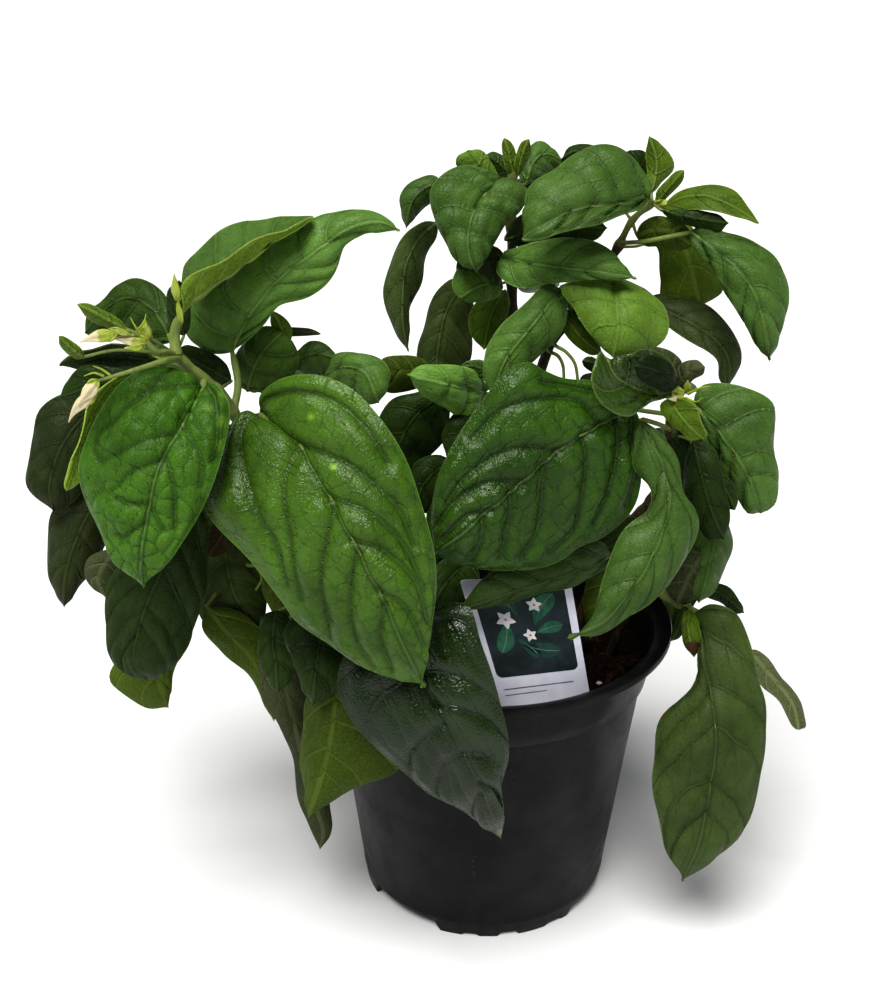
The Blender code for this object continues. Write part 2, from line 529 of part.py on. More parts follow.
class Blade:
    """A leaf blade as a surface over t (base to tip) and s (-1 to 1 across)."""

    def __init__(self, leaf):
        self.leaf = leaf
        base, tip = leaf.rib[0], leaf.rib[-1]
        self.rib = even([Vector(p) for p in leaf.rib])
        self.edge = [even([Vector((p[0], p[1], 0)) for p in [base] + side + [tip]])
                     for side in (leaf.edge_a, leaf.edge_b)]

    def at(self, t, s):
        m = pick(self.rib, t)
        e = pick(self.edge[0 if s < 0 else 1], t)
        q = abs(s)
        fall = self.leaf.fall[0 if s < 0 else 1] * math.sin(math.pi * min(max(t, 0.0), 1.0)) ** 0.6
        return spot((m.x + (e.x - m.x) * q, m.y + (e.y - m.y) * q, m.z + fall * q ** 1.6))

    def normal(self, t, s):
        h = 0.02
        a = self.at(min(t + h, 1), s) - self.at(max(t - h, 0), s)
        b = self.at(t, min(s + 0.3, 1)) - self.at(t, max(s - 0.3, -1))
        n = a.cross(b)
        return n.normalized() if n.length > 1e-9 else -FWD


def even(points, count=64):
    """A smooth curve through points, resampled in steps of equal length in the view."""
    fine = [along(points, i / 400) for i in range(401)]
    run = [0.0]
    for a, b in zip(fine, fine[1:]):
        run.append(run[-1] + math.hypot(b.x - a.x, b.y - a.y))
    out, j = [], 0
    for i in range(count + 1):
        want = run[-1] * i / count
        while j < 399 and run[j + 1] < want:
            j += 1
        f = (want - run[j]) / max(run[j + 1] - run[j], 1e-9)
        out.append(fine[j].lerp(fine[j + 1], min(max(f, 0), 1)))
    return out


def pick(curve, t):
    f = min(max(t, 0.0), 1.0) * (len(curve) - 1)
    i = min(int(f), len(curve) - 2)
    return curve[i].lerp(curve[i + 1], f - i)


def leaf_solid(leaf):
    blade = Blade(leaf)
    base = spot(leaf.rib[0])
    path = [spot(p) for p in leaf.stalk] + [base]
    path.insert(0, stalk_start(leaf.vine, leaf.at, path[0], STALK_R))
    size = (spot(leaf.rib[-1]) - base).length
    stations = [0.03, 0.1, 0.21, 0.34, 0.48, 0.62, 0.76, 0.88, 0.97] if size > 45 else [0.04, 0.18, 0.38, 0.6, 0.82, 0.96]
    rings = []
    across = (blade.at(0.06, 0.5) - blade.at(0.06, -0.5)).normalized()
    n = 2 * (len(path) - 1)
    for i in range(n):
        f = i / n
        p = along(path, f)
        d = (along(path, min(f + 0.05, 1)) - along(path, max(f - 0.05, 0))).normalized()
        x = (across - d * across.dot(d)).normalized()
        y = x.cross(d)
        rings.append([p + STALK_R * (x * math.cos(a) + y * math.sin(a))
                      for a in (math.pi - k * math.pi / 4 for k in range(8))])
    places = (-1, -0.5, 0, 0.5, 1, 0.5, 0, -0.5)
    for t in stations:
        # towards its tip the blade is narrow, so it gets thinner and is kept flat
        wide = (blade.at(t, 1) - blade.at(t, -1)).length
        tip = t > 0.9 and wide < 9
        half = min(LEAF_T / 2, 0.2 * wide) if tip else LEAF_T / 2
        ring = []
        for s, up in zip(places, (0, .8, 1, .8, 0, -.8, -1, -.8)):
            ring.append(blade.at(t, s) - blade.normal(t, 0 if tip else s) * half * up)
        rings.append(ring)
    # The blade is thin and its faces are twisted, so both sides are split along
    # the same diagonal, the one nearer to the curved blade.
    bm = bmesh.new()
    made = [[bm.verts.new(p) for p in ring] for ring in rings]
    bm.faces.new(list(reversed(made[0])))
    bm.faces.new(made[-1])
    for k, (a, b) in enumerate(zip(made, made[1:])):
        for i in range(8):
            j = (i + 1) % 8
            if k < n:
                bm.faces.new((a[i], a[j], b[j], b[i]))
                continue
            low, high = (i, j) if places[i] < places[j] else (j, i)
            t0, t1 = stations[k - n], stations[k - n + 1]
            s0, s1 = places[low], places[high]
            centre = blade.at((t0 + t1) / 2, (s0 + s1) / 2)
            rising = (blade.at(t0, s0) + blade.at(t1, s1)) / 2 - centre
            falling = (blade.at(t0, s1) + blade.at(t1, s0)) / 2 - centre
            if (rising.length <= falling.length) == (low == i):
                bm.faces.new((a[i], a[j], b[j]))
                bm.faces.new((a[i], b[j], b[i]))
            else:
                bm.faces.new((a[i], a[j], b[i]))
                bm.faces.new((a[j], b[j], b[i]))
    kind = {"young": "young", "fold": "young", "lit": "pale", "grey": "pale"}.get(leaf.kind, "leaf")
    return add_object(leaf.name, bm, kind)


# ---------------------------------------------------------------- plant label
def card_mesh(grow, thick):
    """The label: a leaning card that narrows to a stake under the compost."""
    top_l, top_r = spot((476, 583, -61)), spot((585, 570, -49))
    low_l, low_r = spot((502, 703, -66)), spot((590, 689, -55))
    x = (low_r - low_l).normalized()
    down = ((low_l + low_r) / 2 - (top_l + top_r) / 2).normalized()
    n = x.cross(down).normalized()
    mid = (low_l + low_r) / 2
    foot = mid + down * ((mid.z - SOIL_Z + 1.5) / -down.z)
    half = (low_r - low_l).length / 2
    bend = Vector((-1, 5, 0))
    rows = [(top_l, top_r), (foot - x * half, foot + x * half),
            (foot - x * 7 + down * 1.5, foot + x * 7 + down * 1.5),
            (foot - x * 3 + down * 18 + bend, foot + x * 3 + down * 18 + bend)]
    bm = bmesh.new()
    rings = []
    for i, (a, b) in enumerate(rows):
        slip = -down * grow if i == 0 else down * grow if i in (1, 3) else down * grow * 2
        a, b = a - x * grow + slip, b + x * grow + slip
        rings.append([a + n * thick / 2, b + n * thick / 2, b - n * thick / 2, a - n * thick / 2])
    loft(bm, rings)
    return bm


def card():
    return add_object("plant_label", card_mesh(0, CARD_T), "card", flat=True)


# -------------------------------------------------------------- flower buds
def bud(bm, base, tip, r, petals=5):
    """Angular calyx: an inflated five-sided bud that closes to a point."""
    axis = (tip - base)
    d = axis.normalized()
    x = d.orthogonal().normalized()
    y = d.cross(x)
    rings = []
    for t, w in ((0, 0.25), (0.2, 0.8), (0.45, 1.0), (0.75, 0.6), (1.0, 0.08)):
        rings.append([base + axis * t + r * w * (x * math.cos(a) + y * math.sin(a))
                      for a in (2 * math.pi * k / petals for k in range(petals))])
    loft(bm, rings)


def buds(name, vine_name, at, stalk, heads):
    """A flower stalk with its calyces, joined in one solid by Boolean unions."""
    path = [spot(p) for p in stalk]
    path.insert(0, stalk_start(vine_name, at, path[0], 1.1))
    bm = bmesh.new()
    steps = 2 * (len(path) - 1)
    tube(bm, [along(path, i / steps) for i in range(steps + 1)], [1.1] * (steps + 1))
    ob = add_object(name, bm, "flower")
    for i, (base, tip, r) in enumerate(heads):
        bb = bmesh.new()
        a = path[-1] if base is None else spot(base)
        b = spot(tip)
        bud(bb, a - (b - a).normalized() * 1.0, b, r)
        cutter = add_object(f"{name}_head_{i}", bb, "flower")
        cutter.hide_render = True
        cutter.display_type = "WIRE"
        join = ob.modifiers.new(f"join_{i}", "BOOLEAN")
        join.operation = "UNION"
        join.solver = "EXACT"
        join.object = cutter


pot()
soil_ob = soil()
for vine_name in VINES:
    vine(vine_name)
for leaf in LEAVES:
    leaf_solid(leaf)
card()
buds("flowers_left", "vine_left", 6.0, [(157, 352, -72), (146, 341, -73)],
     [(None, (118, 338, -76), 4.5), (None, (80, 340, -78), 3.6), (None, (128, 330, -74), 3.0)])
buds("flowers_left_low", "vine_left", 5.85, [(160, 362, -74), (128, 370, -80), (100, 376, -80)],
     [(None, (78, 402, -84), 3.4), (None, (70, 418, -82), 3.2)])
buds("buds_right", "vine_right", 5.0, [(683, 391, -38), (688, 390, -44)],
     [(None, (690, 384, -52), 2.2), (None, (684, 400, -54), 2.6)])

# The compost is cut with a little room round the label's stake and the vines.
slot = add_object("slot_label", card_mesh(0.4, CARD_T + 0.7), "soil", flat=True)
slot.hide_render = True
slot.display_type = "WIRE"
cut_slot = soil_ob.modifiers.new("slot_label", "BOOLEAN")
cut_slot.operation = "DIFFERENCE"
cut_slot.solver = "EXACT"
cut_slot.object = slot
for vine_name, (points, r0, r1, _) in VINES.items():
    bm = bmesh.new()
    steps = 4
    path = [along(points, 0.3 * i / steps) for i in range(steps + 1)]
    first = path[0] + (path[0] - path[1]).normalized() * 0.5
    tube(bm, [first] + path[1:], [r0 + 0.4] * len(path), 8)
    cut = add_object(f"hole_{vine_name}", bm, "soil")
    cut.hide_render = True
    cut.display_type = "WIRE"
    mod = soil_ob.modifiers.new(f"hole_{vine_name}", "BOOLEAN")
    mod.operation = "DIFFERENCE"
    mod.solver = "EXACT"
    mod.object = cut
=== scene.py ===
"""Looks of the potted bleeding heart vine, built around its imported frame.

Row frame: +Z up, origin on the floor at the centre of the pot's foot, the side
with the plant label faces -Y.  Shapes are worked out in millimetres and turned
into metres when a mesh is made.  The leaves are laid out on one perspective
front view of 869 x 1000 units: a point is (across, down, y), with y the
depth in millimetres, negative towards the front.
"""

import math
from collections import namedtuple

import bpy
import numpy as np
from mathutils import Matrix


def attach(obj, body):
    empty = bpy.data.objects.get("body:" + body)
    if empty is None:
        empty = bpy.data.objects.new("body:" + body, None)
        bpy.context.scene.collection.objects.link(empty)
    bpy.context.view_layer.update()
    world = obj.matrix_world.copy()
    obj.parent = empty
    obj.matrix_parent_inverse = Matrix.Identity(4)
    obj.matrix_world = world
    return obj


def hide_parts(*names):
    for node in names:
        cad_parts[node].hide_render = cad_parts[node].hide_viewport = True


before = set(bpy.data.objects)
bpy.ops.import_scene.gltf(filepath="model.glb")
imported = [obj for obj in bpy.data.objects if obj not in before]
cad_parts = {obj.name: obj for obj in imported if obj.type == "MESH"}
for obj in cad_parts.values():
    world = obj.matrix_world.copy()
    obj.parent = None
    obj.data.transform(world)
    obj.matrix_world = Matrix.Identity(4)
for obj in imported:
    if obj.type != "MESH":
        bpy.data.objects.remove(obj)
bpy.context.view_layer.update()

# ------------------------------------------------------------------- camera
cam_data = bpy.data.cameras.new("camera")
cam_data.lens = 50.4
cam_data.sensor_width = 36.0
cam_data.clip_start = 0.02
cam_data.clip_end = 60.0
cam = bpy.data.objects.new("camera", cam_data)
bpy.context.scene.collection.objects.link(cam)
cam.location = (-0.0234, -0.5604, 0.4263)
cam.rotation_euler = (math.radians(67.1), 0, 0)
bpy.context.scene.camera = cam

# --------------------------------------------------------------- dimensions
MM = 0.001
POT_H = 133.6          # floor to the top of the lip
LIP_R = 82.5           # outside radius of the lip
BAND_H = 24.5          # flared collar under the lip
NECK_R = 70.4          # body radius under the collar
FOOT_R = 56.3          # body radius at the floor
WALL = 1.6             # pot wall
FLOOR_Z = 6.4          # underside of the raised pot floor
PAD_R = 17.0           # centre pad that reaches the floor
SOIL_Z = 117.0         # level of the compost

EYE = np.array([-23.4, -560.4, 426.3])
TILT = math.radians(22.9)
SCALE = 1400.0
MID_U, MID_V = 434.5, 500.0
FWD = np.array([0, math.cos(TILT), -math.sin(TILT)])
UP = np.array([0, math.sin(TILT), math.cos(TILT)])
SIDE = np.array([1.0, 0, 0])

COARSE = 1.0


def spot(p):
    """Front-view points (across, down, y) in the row frame, millimetres."""
    p = np.asarray(p, float)
    u, v, y = p[..., 0], p[..., 1], p[..., 2]
    ray = FWD + SIDE * ((u - MID_U) / SCALE)[..., None] - UP * ((v - MID_V) / SCALE)[..., None]
    return EYE + ray * ((y - EYE[1]) / ray[..., 1])[..., None]


def curve_at(points, f):
    """Catmull-Rom points at indices f along a list of points."""
    pts = np.asarray(points, float)
    last = len(pts) - 1
    f = np.clip(np.atleast_1d(np.asarray(f, float)), 0, last)
    i = np.minimum(f.astype(int), last - 1)
    t = (f - i)[:, None]
    p1, p2 = pts[i], pts[i + 1]
    p0 = np.where((i > 0)[:, None], pts[np.maximum(i - 1, 0)], p1 * 2 - p2)
    p3 = np.where((i + 2 <= last)[:, None], pts[np.minimum(i + 2, last)], p2 * 2 - p1)
    return 0.5 * (2 * p1 + (p2 - p0) * t + (2 * p0 - 5 * p1 + 4 * p2 - p3) * t * t
                  + (3 * p1 - p0 - 3 * p2 + p3) * t ** 3)


def dome(x, r):
    """Rises from 0 at x = 0 and is level from r on."""
    return 1 - (1 - np.clip(x / r, 0, 1)) ** 2


def unit(v):
    v = np.asarray(v, float)
    return v / np.maximum(np.linalg.norm(v, axis=-1, keepdims=True), 1e-9)


def smooth(x, lo, hi):
    x = np.clip((x - lo) / (hi - lo), 0, 1)
    return x * x * (3 - 2 * x)


def seed_of(name):
    return sum(ord(c) * (i + 3) for i, c in enumerate(name)) % 100003


def wobble(p, size, rng, octaves=3):
    """Smooth random height, about -1 to 1, over points p; size is its wavelength."""
    out = np.zeros(p.shape[:-1])
    for k in range(octaves):
        for _ in range(4):
            d = unit(rng.normal(size=3)) * (2 * math.pi / (size / 1.8 ** k)) * rng.uniform(0.7, 1.3)
            out += np.sin(p @ d + rng.uniform(0, 6.28)) * 0.42 / 1.7 ** k
    return out


# ---------------------------------------------------------------- materials
class Shader:
    """A node material, written as short sums of noise, veins and attributes."""

    def __init__(self, name, rough=0.5, spec=0.5, **sockets):
        self.mat = bpy.data.materials.new(name)
        self.mat.use_nodes = True
        self.nodes = self.mat.node_tree.nodes
        self.links = self.mat.node_tree.links
        self.out = self.nodes["Principled BSDF"]
        self.out.inputs["Roughness"].default_value = rough
        self.out.inputs["Specular IOR Level"].default_value = spec
        for key, value in sockets.items():
            self.out.inputs[key.replace("_", " ")].default_value = value
        self.place = self.node("ShaderNodeTexCoord").outputs["Object"]

    def node(self, kind, **props):
        n = self.nodes.new(kind)
        for key, value in props.items():
            setattr(n, key, value)
        return n

    def feed(self, socket, value):
        if isinstance(value, bpy.types.NodeSocket):
            self.links.new(value, socket)
        elif isinstance(value, tuple):
            socket.default_value = (*value, 1)[:4]
        else:
            socket.default_value = value

    def attr(self, name):
        return self.node("ShaderNodeAttribute", attribute_name=name).outputs["Fac"]

    def math(self, op, a, b=0.0, c=None, clamp=False):
        n = self.node("ShaderNodeMath", operation=op, use_clamp=clamp)
        self.feed(n.inputs[0], a)
        self.feed(n.inputs[1], b)
        if c is not None:
            self.feed(n.inputs[2], c)
        return n.outputs[0]

    def ramp(self, x, lo, hi, to_lo=0.0, to_hi=1.0):
        n = self.node("ShaderNodeMapRange", interpolation_type="SMOOTHSTEP")
        for socket, value in zip(n.inputs, (x, lo, hi, to_lo, to_hi)):
            self.feed(socket, value)
        return n.outputs[0]

    def mix(self, fac, a, b, blend="MIX"):
        n = self.node("ShaderNodeMix", data_type="RGBA", blend_type=blend)
        self.feed(n.inputs["Factor"], fac)
        self.feed(n.inputs[6], a)
        self.feed(n.inputs[7], b)
        return n.outputs[2]

    def scaled(self, stretch):
        n = self.node("ShaderNodeMapping")
        n.inputs["Scale"].default_value = stretch
        self.links.new(self.place, n.inputs["Vector"])
        return n.outputs[0]

    def noise(self, scale, detail=3.0, rough=0.55, distort=0.0, stretch=None):
        n = self.node("ShaderNodeTexNoise")
        n.inputs["Scale"].default_value = scale
        n.inputs["Detail"].default_value = detail
        n.inputs["Roughness"].default_value = rough
        n.inputs["Distortion"].default_value = distort
        self.links.new(self.scaled(stretch) if stretch else self.place, n.inputs["Vector"])
        return n.outputs[0]

    def cells(self, scale, feature="DISTANCE_TO_EDGE", stretch=None):
        n = self.node("ShaderNodeTexVoronoi", feature=feature)
        n.inputs["Scale"].default_value = scale
        self.links.new(self.scaled(stretch) if stretch else self.place, n.inputs["Vector"])
        return n.outputs["Distance"]

    def bump(self, height, mm, strength=1.0, under=None):
        n = self.node("ShaderNodeBump")
        n.inputs["Strength"].default_value = strength
        n.inputs["Distance"].default_value = mm * MM
        self.links.new(height, n.inputs["Height"])
        if under is not None:
            self.links.new(under, n.inputs["Normal"])
        return n.outputs[0]

    def finish(self, colour, rough=None, normal=None):
        self.links.new(colour, self.out.inputs["Base Color"])
        if rough is not None:
            self.links.new(rough, self.out.inputs["Roughness"])
        if normal is not None:
            self.links.new(normal, self.out.inputs["Normal"])
        return self.mat


def leaf_top(name, deep, light, vein, rough, spec, line=0.5, gloss=0.0, crease_shade=0.5):
    """Upper side of a leaf: green with painted shade in its creases, along its vein grooves and in its fine vein net,
    pale vein lines, and a tone scale that holds painted light and painted shade for each leaf.
    """
    s = Shader(name, rough, spec)
    big = s.noise(26, 3, 0.5, 0.4)
    mid = s.noise(170, 4, 0.6)
    colour = s.mix(s.ramp(big, 0.32, 0.68), deep, light)
    colour = s.mix(s.math("MULTIPLY", s.ramp(mid, 0.35, 0.7), 0.35), colour, tuple(c * 1.35 for c in light))
    grain = s.noise(1500, 2, 0.6)
    colour = s.mix(s.math("MULTIPLY", s.ramp(grain, 0.5, 0.72), 0.30), colour, tuple(c * 0.55 for c in deep))
    net = s.cells(640)
    # painted shade: darker along the grooves of the fine vein net
    colour = s.mix(s.ramp(net, 0.0, 0.13, 0.30, 0.0), colour, tuple(c * 0.5 for c in deep))
    # painted shade: darker in the creases between the blisters
    cell = s.attr("cell")
    colour = s.mix(s.ramp(cell, 0.0, 1.2, 0.42 * crease_shade, 0.0), colour, tuple(c * 0.45 for c in deep))
    dist = s.math("MULTIPLY", s.math("PINGPONG", s.attr("phase"), 0.5), s.attr("gap"))
    # painted shade: darker in the grooves along the side veins
    colour = s.mix(s.ramp(dist, 0.1, 1.8, crease_shade * 0.62, 0.0), colour, tuple(c * 0.4 for c in deep))
    colour = s.mix(s.ramp(dist, 0.1, 0.42, line, 0.0), colour, vein)
    rib = s.math("ABSOLUTE", s.attr("rib"))
    # painted shade: darker in the groove along the midrib
    colour = s.mix(s.ramp(rib, 0.3, 2.0, min(1.0, crease_shade * 0.8), 0.0), colour, tuple(c * 0.4 for c in deep))
    colour = s.mix(s.ramp(rib, 0.22, 0.6, min(1.0, line * 1.7), 0.0), colour, vein)
    edge = s.attr("edge")
    colour = s.mix(s.ramp(edge, 0.1, 0.55, 0.55, 0.0), colour, tuple(c * 1.1 for c in vein))
    spots = s.attr("spots")
    colour = s.mix(s.ramp(spots, 0.15, 0.9), colour, (0.20, 0.36, 0.03))
    brown = s.attr("brown")
    colour = s.mix(s.ramp(s.math("ADD", brown, s.math("MULTIPLY", mid, 0.5)), 0.62, 0.9), colour, (0.075, 0.035, 0.015))
    # scale by the leaf's tone: partly random tone, partly painted light and painted shade set per leaf
    tone = s.node("ShaderNodeVectorMath", operation="SCALE")
    s.links.new(colour, tone.inputs[0])
    s.links.new(s.attr("tone"), tone.inputs["Scale"])
    ro = s.ramp(s.noise(120, 4, 0.6), 0.3, 0.7, rough - 0.10 - gloss, rough + 0.10)
    hill = s.bump(s.ramp(net, 0.0, 0.25), 0.10, 0.8)
    hill = s.bump(s.ramp(cell, 0.0, 0.9), 0.22, 0.9, hill)
    hill = s.bump(s.ramp(dist, 0.0, 0.7), 0.30, 0.9, hill)
    hill = s.bump(s.ramp(rib, 0.0, 0.9), 0.34, 0.9, hill)
    hill = s.bump(s.noise(420, 3, 0.6), 0.22, 0.7, hill)
    hill = s.bump(grain, 0.09, 0.8, hill)
    return s.finish(tone.outputs[0], ro, hill)


def leaf_under(name, deep, light, vein, rough=0.62, spec=0.12):
    """Lower side of a leaf: paler and duller, its veins stand proud."""
    s = Shader(name, rough, spec)
    colour = s.mix(s.ramp(s.noise(32, 3, 0.5, 0.3), 0.3, 0.7), deep, light)
    net = s.cells(560)
    colour = s.mix(s.ramp(net, 0.02, 0.16, 0.35, 0.0), colour, vein)
    fine = s.noise(900, 3, 0.65)
    colour = s.mix(s.math("MULTIPLY", s.ramp(fine, 0.45, 0.7), 0.35), colour, tuple(c * 0.6 for c in deep))
    cell = s.attr("cell")
    colour = s.mix(s.ramp(cell, 0.1, 0.7, 0.38, 0.0), colour, vein)
    dist = s.math("MULTIPLY", s.math("PINGPONG", s.attr("phase"), 0.5), s.attr("gap"))
    colour = s.mix(s.ramp(dist, 0.2, 0.7, 0.7, 0.0), colour, vein)
    rib = s.math("ABSOLUTE", s.attr("rib"))
    colour = s.mix(s.ramp(rib, 0.5, 1.2, 0.8, 0.0), colour, vein)
    colour = s.mix(s.ramp(s.attr("edge"), 0.15, 0.7, 0.4, 0.0), colour, vein)
    # scale by the leaf's tone: partly random tone, partly painted light and painted shade set per leaf
    tone = s.node("ShaderNodeVectorMath", operation="SCALE")
    s.links.new(colour, tone.inputs[0])
    s.links.new(s.attr("tone"), tone.inputs["Scale"])
    hill = s.bump(s.ramp(net, 0.0, 0.2, 1.0, 0.0), 0.10, 0.8)
    hill = s.bump(s.ramp(cell, 0.0, 0.8, 1.0, 0.0), 0.2, 0.8, hill)
    hill = s.bump(s.ramp(dist, 0.0, 0.9, 1.0, 0.0), 0.4, 0.9, hill)
    hill = s.bump(fine, 0.08, 0.7, hill)
    return s.finish(tone.outputs[0], s.ramp(fine, 0.3, 0.7, rough - 0.08, rough + 0.08), hill)


def stem_material(name, green, brown):
    """Stalks and vines: green when young, browning with lengthwise streaks."""
    s = Shader(name, 0.5, 0.18)
    age = s.math("ADD", s.attr("age"), s.math("MULTIPLY", s.math("SUBTRACT", s.noise(160, 4, 0.6), 0.5), 0.7))
    colour = s.mix(s.ramp(age, 0.25, 0.75), green, brown)
    streak = s.noise(700, 3, 0.6, 0.2, (1, 1, 0.15))
    colour = s.mix(s.math("MULTIPLY", s.ramp(streak, 0.45, 0.7), 0.45), colour, tuple(c * 0.5 for c in green))
    dots = s.cells(900, "F1")
    colour = s.mix(s.ramp(dots, 0.1, 0.28, 0.35, 0.0), colour, tuple(min(1, c * 1.6) for c in green))
    hill = s.bump(streak, 0.2, 0.8)
    hill = s.bump(s.noise(1400, 3, 0.6), 0.08, 0.8, hill)
    return s.finish(colour, s.ramp(streak, 0.3, 0.7, 0.42, 0.62), hill)


def pot_material():
    """Black moulded plastic, a little dusty, with scuffs along the body."""
    s = Shader("pot_plastic", 0.42, 0.13)
    dust = s.noise(38, 5, 0.62, 0.3)
    colour = s.mix(s.ramp(dust, 0.35, 0.75), (0.0052, 0.0052, 0.0056), (0.0125, 0.0122, 0.0120))
    scuff = s.noise(70, 5, 0.7, 1.2, (1.0, 1.0, 0.28))
    mark = s.math("MULTIPLY", s.ramp(scuff, 0.63, 0.72), s.ramp(s.noise(600, 2, 0.5), 0.4, 0.6))
    colour = s.mix(s.math("MULTIPLY", mark, 0.35), colour, (0.06, 0.058, 0.055))
    speck = s.cells(210, "F1")
    colour = s.mix(s.ramp(speck, 0.035, 0.07, 0.5, 0.0), colour, (0.12, 0.11, 0.10))
    ro = s.ramp(s.noise(55, 4, 0.6, 0.5), 0.3, 0.7, 0.34, 0.52)
    hill = s.bump(s.noise(1300, 3, 0.6), 0.05, 0.7)
    hill = s.bump(s.noise(60, 3, 0.5), 0.5, 0.3, hill)
    return s.finish(colour, ro, hill)


def grainy(name, dark, light, scale, rough, spec=0.08, mm=0.3):
    """A crumbly or fibrous matter in two colours."""
    s = Shader(name, rough, spec)
    n = s.noise(scale, 5, 0.65)
    colour = s.mix(s.ramp(n, 0.3, 0.7), dark, light)
    fine = s.noise(scale * 5, 3, 0.6)
    colour = s.mix(s.math("MULTIPLY", s.ramp(fine, 0.45, 0.65), 0.5), colour, tuple(c * 0.4 for c in dark))
    hill = s.bump(n, mm, 0.8)
    hill = s.bump(fine, mm * 0.35, 0.9, hill)
    return s.finish(colour, s.ramp(fine, 0.3, 0.7, rough - 0.08, min(1, rough + 0.06)), hill)


def calyx_material():
    """Papery cream calyx that turns green towards its base and along its ribs."""
    s = Shader("calyx_paper", 0.5, 0.3, Subsurface_Weight=0.0)
    g = s.math("ADD", s.attr("age"), s.math("MULTIPLY", s.math("SUBTRACT", s.noise(260, 3, 0.6), 0.5), 0.35))
    colour = s.mix(s.ramp(g, 0.35, 0.8), (0.58, 0.51, 0.32), (0.27, 0.34, 0.032))
    veins = s.noise(900, 3, 0.5, 0.3, (1, 1, 0.3))
    colour = s.mix(s.math("MULTIPLY", s.ramp(veins, 0.45, 0.7), 0.3), colour, (0.55, 0.50, 0.26))
    hill = s.bump(veins, 0.12, 0.8)
    return s.finish(colour, s.ramp(veins, 0.3, 0.7, 0.44, 0.6), hill)


VEIN = (0.11, 0.19, 0.045)
TOP = {
    "mid": leaf_top("leaf_top_mid", (0.036, 0.074, 0.013), (0.063, 0.122, 0.024), (0.12, 0.19, 0.05), 0.40, 0.14, 0.22, 0.02, 0.42),
    # dark kind: a darker green, darkened further as painted shade for leaves that sit in shade inside the crown
    "dark": leaf_top("leaf_top_dark", (0.014, 0.030, 0.004), (0.028, 0.056, 0.008), (0.06, 0.10, 0.02), 0.44, 0.12, 0.26, 0, 0.5),
    "shade": leaf_top("leaf_top_shade", (0.022, 0.034, 0.008), (0.040, 0.056, 0.015), (0.07, 0.10, 0.03), 0.5, 0.12, 0.26, 0, 0.45),
    "bright": leaf_top("leaf_top_bright_green", (0.095, 0.172, 0.020), (0.130, 0.225, 0.034), (0.17, 0.27, 0.06), 0.5, 0.14, 0.12, 0, 0.22),
    "hero": leaf_top("leaf_top_quilted", (0.018, 0.050, 0.004), (0.036, 0.090, 0.007), (0.070, 0.135, 0.028), 0.32, 0.22, 0.5, 0.05, 1.0),
    "soft": leaf_top("leaf_top_blistered", (0.019, 0.052, 0.004), (0.038, 0.094, 0.008), (0.062, 0.122, 0.026), 0.42, 0.14, 0.36, 0.02, 1.0),
    "big": leaf_top("leaf_top_smooth", (0.034, 0.078, 0.006), (0.060, 0.132, 0.011), (0.10, 0.19, 0.03), 0.34, 0.22, 0.25, 0.04, 0.95),
    "gloss": leaf_top("leaf_top_glossy", (0.009, 0.027, 0.002), (0.020, 0.052, 0.004), (0.045, 0.080, 0.015), 0.25, 0.4, 0.35, 0.05, 0.7),
    "matte": leaf_top("leaf_top_matte", (0.030, 0.052, 0.009), (0.052, 0.082, 0.018), (0.085, 0.125, 0.040), 0.5, 0.16, 0.3, 0, 0.55),
    "cup": leaf_top("leaf_top_curled", (0.030, 0.072, 0.005), (0.060, 0.125, 0.010), (0.18, 0.28, 0.06), 0.27, 0.36, 0.5, 0.05, 0.3),
    "young": leaf_top("leaf_top_young", (0.062, 0.115, 0.006), (0.105, 0.175, 0.012), (0.17, 0.25, 0.04), 0.48, 0.15, 0.35, 0, 0.4),
    "brown": leaf_top("leaf_top_brown", (0.030, 0.019, 0.008), (0.050, 0.035, 0.013), (0.07, 0.05, 0.025), 0.7, 0.1),
}
UNDER = {
    "pale": leaf_under("leaf_under_pale", (0.040, 0.080, 0.015), (0.064, 0.115, 0.024), (0.11, 0.17, 0.045)),
    "lit": leaf_under("leaf_under_lit", (0.034, 0.060, 0.003), (0.060, 0.098, 0.006), (0.10, 0.14, 0.02)),
    "grey": leaf_under("leaf_under_grey", (0.028, 0.038, 0.014), (0.050, 0.062, 0.024), (0.08, 0.095, 0.042)),
    "young": leaf_under("leaf_under_young", (0.070, 0.125, 0.009), (0.115, 0.180, 0.017), (0.19, 0.26, 0.05), 0.55),
    "brown": leaf_under("leaf_under_brown", (0.045, 0.028, 0.012), (0.070, 0.050, 0.020), (0.09, 0.07, 0.035)),
}
STALK = stem_material("stalk_green", (0.165, 0.215, 0.055), (0.090, 0.066, 0.030))
WOOD = stem_material("vine_bark", (0.165, 0.205, 0.060), (0.034, 0.021, 0.012))
